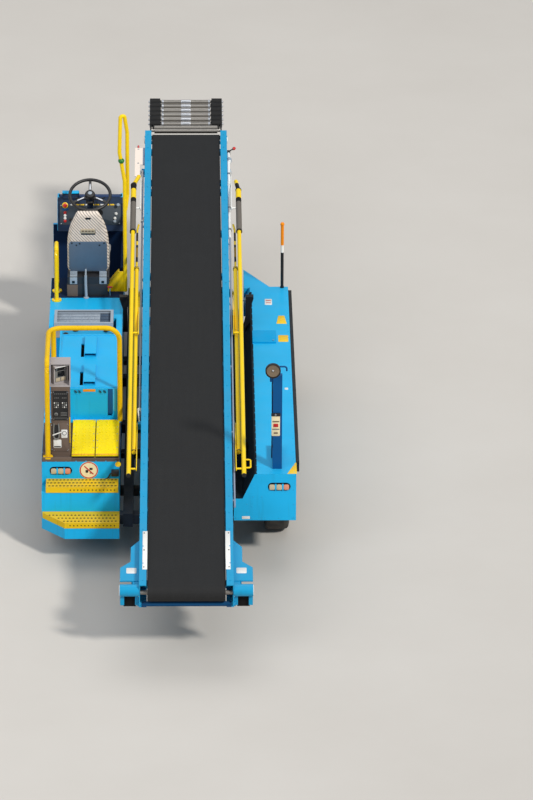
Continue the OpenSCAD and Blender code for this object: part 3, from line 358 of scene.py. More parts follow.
def ramp(tree, value, low, high):
    return node(tree, "ShaderNodeMapRange", {"Value": value, "From Min": low, "From Max": high}, clamp=True)[0]


def mix(tree, factor, a, b):
    return node(tree, "ShaderNodeMix", {0: factor, 6: a, 7: b}, data_type="RGBA")[2]


# Shared effects

def make_edge_wear():
    """Mask of worn, rounded-off edges, broken up by noise."""
    inputs = [("Vector", "Vector", None), ("Width", "Float", 0.004), ("Amount", "Float", 0.5),
              ("Scale", "Float", 60.0)]
    g, i, o = new_group("Edge wear", inputs, [("Mask", "Float")])
    bevel = node(g, "ShaderNodeBevel", {"Radius": i["Width"]}, samples=3)[0]
    flat = node(g, "ShaderNodeNewGeometry")["Normal"]
    edge = ramp(g, dot(g, bevel, flat), 0.985, 0.9)
    broken = ramp(g, noise(g, i["Vector"], i["Scale"], 4.0, 0.7), 0.62, 0.40)
    feed(g, o, {"Mask": times(g, times(g, edge, broken), i["Amount"], True)})
    return g


def make_grime():
    """Dust on what faces up, streaks on what stands, and stains in patches."""
    inputs = [("Vector", "Vector", None), ("Dust", "Float", 0.3), ("Streaks", "Float", 0.3),
              ("Stains", "Float", 0.2)]
    g, i, o = new_group("Grime", inputs, [("Dust", "Float"), ("Dirt", "Float")])
    up = node(g, "ShaderNodeSeparateXYZ", {0: node(g, "ShaderNodeNewGeometry")["Normal"]})[2]
    cloud = noise(g, i["Vector"], 5.0, 5.0, 0.65)
    dust = times(g, ramp(g, up, 0.2, 0.9), ramp(g, cloud, 0.35, 0.75))
    streak = ramp(g, noise(g, stretched(g, i["Vector"], (45.0, 45.0, 2.5)), 1.0, 3.0, 0.6), 0.55, 0.8)
    streak = times(g, times(g, streak, one_less(g, ramp(g, up, 0.1, 0.5))), i["Streaks"])
    spot = ramp(g, noise(g, i["Vector"], 22.0, 6.0, 0.7), 0.6, 0.75)
    feed(g, o, {"Dust": times(g, dust, i["Dust"], True),
                "Dirt": plus(g, streak, times(g, spot, i["Stains"]), True)})
    return g


def make_fine_grain():
    """Height of orange peel, moulded or cast grain."""
    inputs = [("Vector", "Vector", None), ("Scale", "Float", 400.0), ("Large", "Float", 12.0),
              ("Blend", "Float", 0.3)]
    g, i, o = new_group("Fine grain", inputs, [("Height", "Float")])
    fine = noise(g, i["Vector"], i["Scale"], 2.0)
    large = noise(g, i["Vector"], i["Large"], 3.0)
    both = node(g, "ShaderNodeMix", {0: i["Blend"], 2: fine, 3: large}, data_type="FLOAT")[0]
    feed(g, o, {"Height": both})
    return g


def make_brushed():
    """Fine lines along one axis, for drawn and rolled metal."""
    inputs = [("Vector", "Vector", None), ("Along", "Vector", (2.0, 300.0, 300.0))]
    g, i, o = new_group("Brushed lines", inputs, [("Lines", "Float")])
    feed(g, o, {"Lines": noise(g, stretched(g, i["Vector"], i["Along"]), 1.0, 4.0, 0.6)})
    return g


def make_band():
    """One where a coordinate along a direction lies between two limits."""
    inputs = [("Vector", "Vector", None), ("Direction", "Vector", (0.0, 1.0, 0.0)), ("From", "Float", 0.0),
              ("To", "Float", 1.0)]
    g, i, o = new_group("Band", inputs, [("Mask", "Float")])
    d = dot(g, i["Vector"], i["Direction"])
    feed(g, o, {"Mask": times(g, maths(g, "GREATER_THAN", d, i["From"]), maths(g, "LESS_THAN", d, i["To"]))})
    return g


EFFECTS = {}


def effect(tree, name, **values):
    """Places one of the shared effects in a material with its own values."""
    n = tree.nodes.new("ShaderNodeGroup")
    n.node_tree = EFFECTS[name]
    feed(tree, n.inputs, values)
    return n.outputs


# Kinds of finish

MATERIALS = {}


def rgb(*screen):
    """A screen colour, 0 to 255, as the linear colour that a shader takes."""
    levels = [c / 255 for c in screen]
    return tuple(c / 12.92 if c <= 0.04045 else ((c + 0.055) / 1.055) ** 2.4 for c in levels) + (1.0,)


def shade(colour, factor, lift=0.0):
    return tuple(min(1.0, c * factor + lift) for c in colour[:3]) + (1.0,)


def start_material(name):
    m = bpy.data.materials.new(name)
    m.use_nodes = True
    MATERIALS[name] = m
    t = m.node_tree
    return t, t.nodes["Principled BSDF"].inputs, node(t, "ShaderNodeTexCoord")["Object"]


def grain(t, where, scale, large, blend):
    return effect(t, "Fine grain", Vector=where, Scale=scale, Large=large, Blend=blend)["Height"]


def bump(t, height, distance, strength=0.5):
    return node(t, "ShaderNodeBump", {"Height": height, "Distance": distance, "Strength": strength})[0]


def soiled(t, where, base, amounts, dirt, dust):
    """A colour with grime over it, and the grime's masks. Amounts are those of dust, streaks and stains."""
    grime = effect(t, "Grime", Vector=where, Dust=amounts[0], Streaks=amounts[1], Stains=amounts[2])
    base = mix(t, grime["Dirt"], base, dirt)
    return mix(t, grime["Dust"], base, dust), grime


def paint(name, colour, rough=0.32, coat=0.25, wear=0.45, bare=rgb(70, 74, 80), dust=0.05, streaks=0.16,
          stains=0.06, zones=(), gloss=0.2):
    """Sprayed paint: orange peel, faded patches, dust, streaks, chipped edges; zones are dull (colour, bands)."""
    t, surface, where = start_material(name)
    fade = 0.1
    base = mix(t, noise(t, where, 3.0, 3.0), shade(colour, 1 - fade), shade(colour, 1 + fade, 0.02 * fade))
    dull = 0.0
    for other, bands in zones:
        mask = None
        for direction, low, high in bands:
            one = effect(t, "Band", Vector=where, Direction=direction, From=low, To=high)["Mask"]
            mask = one if mask is None else times(t, mask, one)
        base = mix(t, mask, base, other)
        dull = plus(t, dull, mask, True)
    base, grime = soiled(t, where, base, (dust, streaks, stains), rgb(46, 44, 40), rgb(168, 162, 150))
    worn = effect(t, "Edge wear", Vector=where, Width=0.004, Amount=wear)["Mask"]
    rough = plus(t, rough, times(t, grime["Dust"], 0.45))
    rough = plus(t, rough, times(t, grime["Dirt"], 0.3), True)
    if zones:
        coat = times(t, one_less(t, dull), coat)
        rough = plus(t, rough, times(t, dull, 0.6), True)
    feed(t, surface, {
        "Base Color": mix(t, worn, base, bare), "Roughness": rough, "Metallic": times(t, worn, 0.8),
        "Specular IOR Level": gloss, "Coat Weight": coat, "Coat Roughness": 0.12,
        "Normal": bump(t, grain(t, where, 260.0, 9.0, 0.5), 0.0006, 0.35)})


def metal(name, colour, rough=0.35, along=(2.0, 300.0, 300.0), stains=0.2, dust=0.04):
    """Bare or plated metal with drawn lines, dull patches and grime."""
    t, surface, where = start_material(name)
    lines = effect(t, "Brushed lines", Vector=where, Along=along)["Lines"]
    base, grime = soiled(t, where, mix(t, lines, shade(colour, 0.75), colour), (dust, 0.2, stains),
                         rgb(52, 46, 38), rgb(150, 145, 135))
    r = plus(t, rough - 0.08, times(t, lines, 0.2))
    feed(t, surface, {"Base Color": base, "Metallic": 0.92, "Normal": bump(t, lines, 0.0002, 0.3),
                      "Roughness": plus(t, r, times(t, grime["Dirt"], 0.4), True)})


def plastic(name, colour, rough=0.45, fine=500.0, depth=0.0003, wear=0.2, bare=None):
    """Moulded plastic or hard rubber with a fine grain, dust and rubbed edges."""
    t, surface, where = start_material(name)
    base = mix(t, noise(t, where, 8.0, 2.0), shade(colour, 0.82), colour)
    base, grime = soiled(t, where, base, (0.05, 0.15, 0.06), rgb(60, 57, 52), rgb(160, 155, 146))
    worn = effect(t, "Edge wear", Vector=where, Width=0.003, Amount=wear)["Mask"]
    feed(t, surface, {"Base Color": mix(t, worn, base, bare or shade(colour, 2.2, 0.03)),
                      "Roughness": plus(t, rough, times(t, grime["Dust"], 0.4), True),
                      "Normal": bump(t, grain(t, where, fine, 20.0, 0.15), depth)})


def belt_rubber(name):
    """Rough-top conveyor belt: small raised lozenges worn flat along the middle, with scuffs and dust."""
    t, surface, where = start_material(name)
    place = node(t, "ShaderNodeMapping", {"Vector": where, "Rotation": (-BOOM_TILT, 0, 0)})[0]
    lozenges = cells(t, stretched(t, place, (130.0, 90.0, 0.0)), 1.0, 0.35, distance="MANHATTAN")
    height = ramp(t, lozenges, 0.62, 0.25)
    track = noise(t, stretched(t, place, (34.0, 1.3, 1.0)), 1.0, 4.0, 0.6)
    cloud = noise(t, place, 2.2, 5.0, 0.6)
    speck = ramp(t, noise(t, place, 95.0, 4.0, 0.75), 0.72, 0.78)
    base = mix(t, track, rgb(27, 28, 29), rgb(37, 38, 39))
    base = mix(t, times(t, ramp(t, cloud, 0.5, 0.85), 0.3), base, rgb(50, 49, 49))
    base = mix(t, times(t, speck, 0.3), base, rgb(84, 82, 80))
    base = mix(t, times(t, one_less(t, height), 0.4), base, rgb(24, 24, 25))
    feed(t, surface, {"Base Color": base, "Roughness": plus(t, 0.62, times(t, cloud, 0.25)),
                      "Specular IOR Level": 0.3, "Normal": bump(t, height, 0.0012, 0.7)})


def tyre_rubber(name):
    """Tyre rubber, brown with dust in patches."""
    t, surface, where = start_material(name)
    base = mix(t, noise(t, where, 14.0, 4.0, 0.6), rgb(26, 26, 27), rgb(44, 43, 42))
    dust = ramp(t, noise(t, where, 6.0, 6.0, 0.7), 0.42, 0.75)
    feed(t, surface, {"Base Color": mix(t, times(t, dust, 0.5), base, rgb(108, 101, 90)),
                      "Roughness": plus(t, 0.72, times(t, dust, 0.2)),
                      "Normal": bump(t, grain(t, where, 320.0, 40.0, 0.4), 0.0006)})


def seat_vinyl(name, colour, ribs=True):
    """Coated seat cloth: leather grain with diagonal quilted ribs, darker along the creases, soiled in patches.
    """
    t, surface, where = start_material(name)
    base = mix(t, noise(t, where, 10.0, 4.0), shade(colour, 0.86), colour)
    height = times(t, cells(t, where, 420.0, 1.0), 0.25)
    if ribs:
        wave = maths(t, "ABSOLUTE", maths(t, "SINE", dot(t, where, (118.0, 0.0, 104.0)), 0.0), 0.0)
        groove = ramp(t, wave, 0.1, 0.6)
        height = plus(t, height, groove)
        # The creases between the ribs are coloured darker.
        base = mix(t, times(t, one_less(t, groove), 0.95), base, rgb(92, 84, 82))
    soil = ramp(t, noise(t, where, 7.0, 6.0, 0.65), 0.5, 0.85)
    feed(t, surface, {"Base Color": mix(t, times(t, soil, 0.35), base, rgb(110, 104, 94)), "Roughness": 0.55,
                      "Normal": bump(t, height, 0.0015, 0.6)})


def glow_glass(name, colour):
    """A lamp's coloured cover with moulded prisms."""
    t, surface, where = start_material(name)
    prisms = cells(t, where, 160.0, 0.0)
    feed(t, surface, {"Base Color": mix(t, prisms, shade(colour, 0.7), colour), "Roughness": 0.08,
                      "Coat Weight": 1.0, "Coat Roughness": 0.04, "Normal": bump(t, prisms, 0.002, 0.6)})


# Painted zones, in metres: bands across, along and up the chassis, and along and up the conveyor

def across(low, high):
    return (1.0, 0.0, 0.0), SHIFT.x + low, SHIFT.x + high


def lengthwise(low, high):
    return (0.0, 1.0, 0.0), SHIFT.y + low, SHIFT.y + high


def level(low, high):
    return (0.0, 0.0, 1.0), low, high


def along_belt(low, high):
    start = SHIFT.y * math.cos(BOOM_TILT) + TRUNNION.z * math.sin(BOOM_TILT)
    return (0.0, math.cos(BOOM_TILT), math.sin(BOOM_TILT)), start + low, start + high


def above_belt(low, high):
    start = TRUNNION.z * math.cos(BOOM_TILT) - SHIFT.y * math.sin(BOOM_TILT)
    return (0.0, -math.sin(BOOM_TILT), math.cos(BOOM_TILT)), start + low, start + high


def make_blues(blue):
    """Body blue on each part, with the brown platform, painted shade in the footwell, on the right body's slope
    and under the conveyor's tail, and darker blues painted as the shade on the conveyor's sides, the lamp post
    and the recesses.
    """
    paint("blue_paint", blue, rough=0.34, coat=0.12)
    paint("left_blue", blue, rough=0.38, coat=0.06, dust=0.03, zones=[
        (rgb(92, 80, 74), [across(-1.033, -0.2), level(0.7455, 0.79), lengthwise(-1.82, -1.097)]),
        # The second zone is painted shade: the footwell round the seat's pedestal, dark navy.
        (rgb(8, 34, 66), [across(-1.033, -0.4005), level(0.4, 0.999), lengthwise(1.412, 2.62)])])
    paint("right_blue", blue, rough=0.34, coat=0.12, zones=[
        # This zone is painted shade: the right body's slope beside the belt, dark as where the conveyor shades
        # it.
        (rgb(4, 24, 36), [across(0.2, 0.7165), level(0.3, 0.83), lengthwise(-2.187, 1.5)])])
    half, middle = 0.352, TRUNNION.x
    # The conveyor's sides take the body blue darkened to 0.73: painted shade of the side faces, also worn by
    # bolts and small plates.
    paint("shaded_side_blue", shade(blue, 0.73), rough=0.4, coat=0.08, wear=0.6, zones=[
        # This zone is a painted shadow on the conveyor's tail under the belt.
        (rgb(8, 66, 108), [across(middle - half, middle + half), along_belt(-5.0, -3.9),
                           above_belt(-0.6, -0.06)])])
    # The lamp post's dark blue is painted shade of its rear face.
    paint("post_shaded_blue", rgb(10, 80, 136), rough=0.4, coat=0.05, gloss=0.1)
    paint("hatch_blue", rgb(0, 156, 214), rough=0.45, coat=0.0, gloss=0.08)
    # Navy plates painted as the shade in recesses.
    paint("recess_shade_navy", rgb(6, 78, 132), rough=0.5, coat=0.05, wear=0.1)
    paint("pale_blue", rgb(74, 186, 236), rough=0.4, coat=0.2, wear=0.2)


def make_yellows(yellow):
    """Safety yellow on rails, plates and treads, and the handrails' tape and foam."""
    bare = rgb(120, 96, 40)
    black, foam, rust, brown = rgb(22, 22, 23), rgb(104, 99, 93), rgb(150, 120, 30), rgb(60, 50, 40)
    paint("aged_yellow", rgb(230, 186, 14), rough=0.45, coat=0.04, wear=0.8, bare=bare, streaks=0.35, stains=0.25,
          gloss=0.1)
    paint("plate_yellow", rgb(250, 222, 6), rough=0.5, coat=0.0, wear=0.8, bare=bare, stains=0.14, dust=0.03,
          gloss=0.1)
    paint("yellow_paint", yellow, rough=0.36, coat=0.2, wear=0.6, bare=bare)
    paint("lip_orange", rgb(236, 176, 20), rough=0.45, coat=0.1, wear=0.8, bare=bare)
    paint("tread_yellow", rgb(226, 186, 16), rough=0.5, coat=0.05, wear=0.9, bare=rgb(110, 100, 80), stains=0.22,
          dust=0.06)
    paint("taped_rail", yellow, rough=0.42, coat=0.1, wear=0.5, bare=bare, zones=[
        (black, [along_belt(2.5, 2.578)]), (black, [along_belt(2.752, 2.885)]), (foam, [along_belt(1.96, 2.5)])])
    paint("taped_thin_rail", yellow, rough=0.42, coat=0.1, wear=0.5, bare=bare, zones=[
        (black, [along_belt(1.47, 1.56)]), (rust, [along_belt(1.56, 1.74)]), (black, [along_belt(1.74, 1.79)]),
        (brown, [along_belt(1.86, 2.02)])])


def make_other_paints(navy):
    """Greys, blacks, browns and whites."""
    mast_foot = RIGHT_TOP * MM
    paint("dash_dark", rgb(14, 38, 66), rough=0.45, coat=0.1)
    paint("navy_paint", navy, rough=0.4, coat=0.15)
    paint("boom_pieces", rgb(150, 158, 176), rough=0.4, coat=0.2, zones=[
        (rgb(236, 236, 234), [((1.0, 0.0, 0.0), 0.3, 2.0), along_belt(1.94, 5.0)]),
        (rgb(236, 222, 210), [((1.0, 0.0, 0.0), -2.0, -0.26), along_belt(3.05, 5.0)])])
    paint("tooth_steel", rgb(62, 50, 20), rough=0.6, coat=0.0)
    paint("cheek_black", rgb(19, 19, 20), rough=0.5, coat=0.0, wear=0.2, dust=0.02, streaks=0.1)
    # Near-black sheets put where there is only shade: under treads and lips, in openings, at the conveyor's ends
    # and in the rear lamps' recesses.
    paint("shade_liner_black", rgb(12, 12, 13), rough=0.85, coat=0.0, wear=0.0, dust=0.0)
    paint("frame_black", rgb(26, 27, 30), rough=0.5, coat=0.0, dust=0.08, streaks=0.2)
    paint("underside", rgb(22, 34, 48), rough=0.55, coat=0.0, dust=0.1, streaks=0.3)
    paint("rim_white", rgb(214, 214, 210), rough=0.4, coat=0.2, wear=0.5, stains=0.25)
    paint("grey_enamel", rgb(152, 164, 176), rough=0.4, coat=0.1, stains=0.1)
    # Darker copies for every other slat: painted shade between the slats.
    paint("slat_shaded_grey", rgb(122, 134, 148), rough=0.5, coat=0.0)
    paint("slat_blue", rgb(48, 74, 100), rough=0.5, coat=0.0)
    paint("slat_shaded_navy", rgb(34, 54, 78), rough=0.5, coat=0.0)
    paint("console_brown", rgb(104, 89, 79), rough=0.5, coat=0.05, wear=0.6, bare=rgb(160, 146, 132))
    paint("screen_case", rgb(164, 158, 158), rough=0.45, coat=0.05, wear=0.3, bare=rgb(200, 196, 190))
    paint("white_enamel", rgb(236, 236, 232), rough=0.35, coat=0.2, wear=0.3)
    paint("mast_bands", rgb(28, 28, 30), rough=0.4, coat=0.2, zones=[
        (rgb(236, 234, 228), [level(mast_foot + 0.335, mast_foot + 0.405)]),
        (rgb(240, 140, 20), [level(mast_foot + 0.405, 2.0)])])


def make_metals_and_plastics():
    metal("zinc", rgb(186, 190, 196), rough=0.38)
    metal("roller_steel", rgb(150, 146, 140), rough=0.42, along=(2.0, 260.0, 260.0), stains=0.4)
    metal("bright_steel", rgb(206, 208, 212), rough=0.25, stains=0.1)
    metal("rod_chrome", rgb(226, 228, 232), rough=0.12, stains=0.0, dust=0.0)
    plastic("black_plastic", rgb(27, 27, 29))
    plastic("black_rubber", rgb(22, 22, 24), rough=0.7, fine=300.0, depth=0.0006)
    plastic("dash_plastic", rgb(40, 54, 66), rough=0.5)
    plastic("seat_shell", rgb(84, 104, 126), rough=0.42, wear=0.4)
    # Dark grey of the seat base, darkened further as painted shade in the footwell.
    plastic("seat_dark_shaded", rgb(38, 40, 46), rough=0.55)
    plastic("switch_black", rgb(20, 20, 22), rough=0.3)
    plastic("red_plastic", rgb(196, 24, 22), rough=0.3, bare=rgb(230, 120, 110))
    plastic("green_plastic", rgb(30, 120, 40), rough=0.3, bare=rgb(120, 190, 130))
    plastic("yellow_plastic", rgb(244, 200, 20), rough=0.35, bare=rgb(250, 226, 120))
    plastic("white_plastic", rgb(232, 232, 228), rough=0.35, bare=rgb(250, 250, 250))
    plastic("orange_label", rgb(240, 150, 20), rough=0.4, bare=rgb(250, 200, 120))
    # Beige plastic; on the screen's foot it is a painted reflection.
    plastic("beige_plastic_and_reflection", rgb(190, 176, 150), rough=0.5, bare=rgb(214, 204, 184))
    plastic("screen_glass", rgb(16, 20, 24), rough=0.06, fine=40.0, depth=0.0)
    plastic("panel_grey", rgb(120, 120, 118), rough=0.5)
    plastic("sign_cream", rgb(240, 226, 184), rough=0.4)
    plastic("lens_brown", rgb(120, 104, 84), rough=0.12)
    plastic("grip_deck", rgb(128, 130, 132), rough=0.9, fine=1400.0, depth=0.0012)


def make_materials(look):
    for make in (make_edge_wear, make_grime, make_fine_grain, make_brushed, make_band):
        group = make()
        EFFECTS[group.name] = group
    make_blues(tuple(look.blue) + (1.0,))
    make_yellows(tuple(look.yellow) + (1.0,))
    make_other_paints(tuple(look.navy) + (1.0,))
    make_metals_and_plastics()
    glow_glass("lens_cream", rgb(206, 190, 156))
    glow_glass("lens_amber", rgb(232, 150, 120))
    belt_rubber("belt_rubber")
    tyre_rubber("tyre_rubber")
    seat_vinyl("seat_vinyl", rgb(232, 219, 206))
    seat_vinyl("seat_plain", rgb(150, 150, 148), ribs=False)


# Settings

def colour_property(name, description, default):
    return FloatVectorProperty(name=name, description=description, default=default[:3], size=3, subtype="COLOR",
                               min=0.0, max=1.0)


class BeltLoaderLook(bpy.types.PropertyGroup):
    blue: colour_property("Body blue", "Paint of the bodies and the conveyor's frame", rgb(19, 173, 228))
    navy: colour_property("Dark blue", "Paint of the lift and other dark blue parts", rgb(14, 50, 96))
    yellow: colour_property("Safety yellow", "Paint of the rails and handles", rgb(248, 208, 10))


class BeltLoaderSizes(bpy.types.PropertyGroup):
    rivet_r: FloatProperty(name="Rivet radius", description="Radius of the body rivets", default=0.006,
                           unit="LENGTH")
    rivet_pitch: FloatProperty(name="Rivet pitch", description="Distance between body rivets", default=0.085,
                               unit="LENGTH")
    lug_count: IntProperty(name="Tread blocks", description="Blocks round one row of a tyre's tread", default=46,
                           min=8)
    lug_height: FloatProperty(name="Tread depth", description="Height of a tread block", default=0.008,
                              unit="LENGTH")
    seat_swell: FloatProperty(name="Seat swell", description="How far the seat's padding may bulge",
                              default=0.014, unit="LENGTH")


class BeltLoaderStage(bpy.types.PropertyGroup):
    lens: FloatProperty(name="Lens", description="Focal length on a 36 mm long side", default=238.6)
    place: FloatVectorProperty(name="Camera", description="Camera's place in the chassis's axes", size=3,
                               default=(0.158, -40.9035, 19.291), unit="LENGTH")
    pitch: FloatProperty(name="Pitch", description="Angle below the horizon", default=math.radians(24.708),
                         unit="ROTATION")
    yaw: FloatProperty(name="Yaw", description="Turn towards the right", default=math.radians(0.936),
                       unit="ROTATION")
    roll: FloatProperty(name="Roll", description="Turn about the line of sight", default=math.radians(0.287),
                        unit="ROTATION")
    sun: FloatProperty(name="Sun", description="Strength of the soft sun", default=2.4)
    sky: FloatProperty(name="Sky", description="Strength of the even light from all round", default=0.42)


# Finishes of the frame's own parts

FINISHES = {
    "left_body": "left_blue", "right_body": "right_blue", "left_hood": "blue_paint", "right_hatch": "hatch_blue",
    "boom_frame": "shaded_side_blue", "chassis_frame": "underside", "platform_plate": "plate_yellow",
    "rear_steps": "tread_yellow", "guard_rail": "aged_yellow", "grab_rails": "yellow_paint",
    "control_console": "console_brown", "screen_box": "screen_case", "dash": "dash_dark",
    "steering_wheel": "black_plastic", "seat_base": "seat_dark_shaded", "lamp_post": "post_shaded_blue",
    "work_lamp": "black_plastic", "marker_mast": "mast_bands", "body_lamps": "shade_liner_black",
    "side_strip": "black_rubber", "power_pack": "frame_black", "boom_guides": "frame_black",
    "vent_grille": "grey_enamel", "front_axle": "frame_black", "rear_axle": "frame_black",
    "knuckle_left": "zinc", "knuckle_right": "zinc", "lift_arm": "navy_paint", "lift_link": "navy_paint",
    "boom_carrier": "navy_paint", "lift_barrels": "frame_black", "lift_rods": "rod_chrome",
    "tilt_barrel": "frame_black", "tilt_rod": "rod_chrome", "belt": "belt_rubber", "belt_rollers": "roller_steel",
    "boom_fittings": "boom_pieces", "head_fittings": "frame_black", "nose_frame": "cheek_black",
    "nose_rollers": "roller_steel", "seat_cushion": "seat_vinyl", "seat_back": "seat_vinyl",
}
CORNERS = ("fl", "fr", "rl", "rr")
for corner in CORNERS:
    FINISHES[f"rim_{corner}"] = "rim_white"
    FINISHES[f"tyre_{corner}"] = "tyre_rubber"
for rail_side in ("left", "right"):
    FINISHES[f"rail_{rail_side}"] = "taped_rail"
    FINISHES[f"mid_rail_{rail_side}"] = "taped_thin_rail"
    for number in (1, 2, 3):
        FINISHES[f"post_{rail_side}_{number}"] = "white_enamel" if number == 3 else "yellow_paint"


class BELTLOADER_OT_finishes(bpy.types.Operator):
    """Builds the finishes and gives each part of the frame its own"""
    bl_idname = "beltloader.finishes"
    bl_label = "Finishes"

    def execute(self, context):
        make_materials(context.scene.belt_loader_look)
        missing = set(NODES) - set(FINISHES)
        if missing:
            raise RuntimeError(f"no finish for {sorted(missing)}")
        for name, obj in NODES.items():
            for s in obj.material_slots:
                s.material = MATERIALS[FINISHES[name]]
        return {"FINISHED"}


# Driver's place

class BELTLOADER_OT_dash(bpy.types.Operator):
    """Instruments, switches and trim on the dash"""
    bl_idname = "beltloader.dash"
    bl_label = "Dash"

    def execute(self, context):
        m = Maker("dash_trim")
        slope = Vector((0, 60, 180)).normalized()
        out = Vector((0, -slope.z, slope.y))
        middle, foot_y, foot_z, cover = -702, 2430, 1060, 6

        def on_panel(x, up, lift=cover):
            return Vector((x, foot_y + up * 0.316, foot_z + up * 0.949)) + out * lift

        def face(x, up, lift=cover):
            return facing(on_panel(x, up, lift), out)

        m.plate(540, 188, 8, cover, face(middle, 95, 0), "dash_plastic", 1.5)
        for x in (-960, -444):
            for up in (12, 172):
                m.screw(on_panel(x, up), out, 5)
        for i, x in enumerate(range(-860, -500, 44)):
            m.label(on_panel(x, 180), out, 34, 12, "yellow_plastic" if i % 3 else "white_plastic")
        for x, up, r in ((-780, 110, 34), (middle, 118, 40), (-624, 110, 34)):
            m.lathe([(0, 0), (r, 0), (r, 8), (r - 4, 12), (r - 6, 9), (0, 9)], face(x, up), "black_plastic", 28)
            m.lathe([(0, 0), (r - 7, 0), (r - 7, 2), (0, 2)], face(x, up, 15), "screen_glass", 28)
        for i in range(6):
            m.plate(20, 28, 3, 9, face(-880 + i * 30, 50), "switch_black", 1.2)
        knob = [(0, 0), (13, 0), (13, 5), (9, 6), (9, 14), (7, 17), (0, 17)]
        for x, up, material in (
                (-926, 110, "red_plastic"), (-926, 84, "white_plastic"), (-926, 60, "white_plastic"),
                (-926, 36, "red_plastic"), (-474, 100, "white_plastic"), (-484, 60, "white_plastic"),
                (-486, 32, "grey_enamel")):
            m.lathe(knob, face(x, up), material, 18)
        # Painted shade: a navy plate standing for a shaded recess on the dash.
        m.label(on_panel(-925, 140), out, 58, 20, "recess_shade_navy")
        m.lathe([(0, 0), (26, 0), (26, 8), (20, 11), (0, 11)], face(-925, 176), "yellow_plastic", 28)
        m.lathe([(0, 0), (8, 0), (8, 14), (17, 18), (19, 26), (15, 33), (7, 36), (0, 36)], face(-925, 176, 16),
                "red_plastic", 28)
        m.lathe([(0, 0), (6, 0), (6, 18), (13, 24), (15, 32), (11, 40), (0, 43)], face(-456, 180),
                "grey_enamel", 24)
        m.plate(560, 60, 6, 3, facing((middle, 2575, 1280), UP, FORWARD), "navy_paint", 1)
        m.done("chassis")

        trim = Maker("dash_frame")
        cheek = [(2425, 1008), (2448, 1062), (2508, 1244), (2545, 1283), (2625, 1283), (2625, 1008)]
        for x in (-994, -436):
            trim.prism(cheek, 24, moved(x, 0, 0) @ SIDE_ON, "blue_paint", 2)
        trim.prism([(-950, 2520), (-935, 2512), (-815, 2512), (-800, 2520), (-800, 2570), (-950, 2570)], 10,
                   moved(0, 0, 1324), "blue_paint", 3)
        trim.done("chassis")
        return {"FINISHED"}


class BELTLOADER_OT_steering(bpy.types.Operator):
    """Hub cap and spoke plates of the steering wheel, and the column with its stalks"""
    bl_idname = "beltloader.steering"
    bl_label = "Steering"

    def execute(self, context):
        centre = Vector((-700.5, 2325, 1390))
        tilt = turned(26.6, "X")
        wheel = Matrix.Translation(centre) @ tilt
        m = Maker("steering_hub")
        m.lathe([(0, 12), (38, 12), (44, 15), (40, 22), (26, 27), (0, 29)], wheel, "black_plastic", 32)
        m.lathe([(0, 28), (17, 28), (19, 30), (15, 33), (0, 34)], wheel, "grey_enamel", 24)
        for k in range(3):
            spoke = wheel @ turned(90 + 120 * k, "Z") @ moved(95, 0, 2)
            m.plate(70, 12, 5, 1.4, spoke, "bright_steel", 0.3)
        m.done("steering")

        c = Maker("column_stalks")
        base = centre + Vector((0, 22, -52))
        column = Matrix.Translation(base + Vector((0, 14, -30))) @ tilt
        c.lathe([(0, 0), (34, 0), (38, 6), (38, 30), (32, 36), (0, 36)], column, "black_plastic", 24)
        for elbow, tip in (((95, -4, 6), (132, -18, 26)), ((-95, -4, 6), (-126, -14, 22))):
            c.tube([base, base + Vector(elbow), base + Vector(tip)], 5, "black_plastic", 10)
        c.done("chassis")
        return {"FINISHED"}


def loft_pad(name, rows, axes, material, stands_for, swell):
    """A stuffed pad from cross rows of (height, half width, thickness), remeshed, blown up and smoothed."""
    bm = bmesh.new()
    count = 10
    rings = []
    for h, half, thick in rows:
        flat = [bm.verts.new((-half + 2 * half * k / count, 0, h)) for k in range(count + 1)]
        crown = []
        for k in range(count, -1, -1):
            u = k / count * 2 - 1
            crown.append(bm.verts.new((half * u, -thick * (1 - 0.18 * abs(u) ** 3), h)))
        rings.append(flat + crown)
    for a, b in zip(rings, rings[1:]):
        bridge(bm, a, b)
    bm.faces.new(rings[0])
    bm.faces.new(rings[-1])
    bmesh.ops.recalc_face_normals(bm, faces=bm.faces[:])
    bmesh.ops.triangulate(bm, faces=bm.faces[:])
    bm.transform(axes @ Matrix.Scale(MM, 4))
    mesh = bpy.data.meshes.new(name)
    bm.to_mesh(mesh)
    bm.free()
    obj = add_object(name, mesh)
    remesh = obj.modifiers.new("remesh", "REMESH")
    remesh.mode, remesh.voxel_size = "VOXEL", 0.006
    settle(obj)
    blow_up(obj, swell)
    smooth = obj.modifiers.new("smooth", "SMOOTH")
    smooth.factor, smooth.iterations = 0.5, 6
    settle(obj)
    for p in obj.data.polygons:
        p.use_smooth = True
    obj.data.materials.clear()
    obj.data.materials.append(MATERIALS[material])
    ride(obj, "chassis")
    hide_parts(stands_for)


def blow_up(obj, cap):
    """Cloth pressure swells the pad; no point moves further than the cap."""
    start = [v.co.copy() for v in obj.data.vertices]
    s = obj.modifiers.new("cloth", "CLOTH").settings
    s.quality = 5
    s.use_pressure = True
    s.uniform_pressure_force = 4.0
    s.tension_stiffness = s.compression_stiffness = 20.0
    s.shear_stiffness = 10.0
    s.bending_stiffness = 2.0
    s.effector_weights.gravity = 0.0
    scene = bpy.context.scene
    for f in range(1, 21):
        scene.frame_set(f)
    settle(obj)
    scene.frame_set(1)
    for v, a in zip(obj.data.vertices, start):
        move = v.co - a
        if move.length > cap:
            v.co = a + move.normalized() * cap


SEAT_X, SEAT_REAR, SEAT_Z, SEAT_LEAN = -705.5, 1590, 985, 8


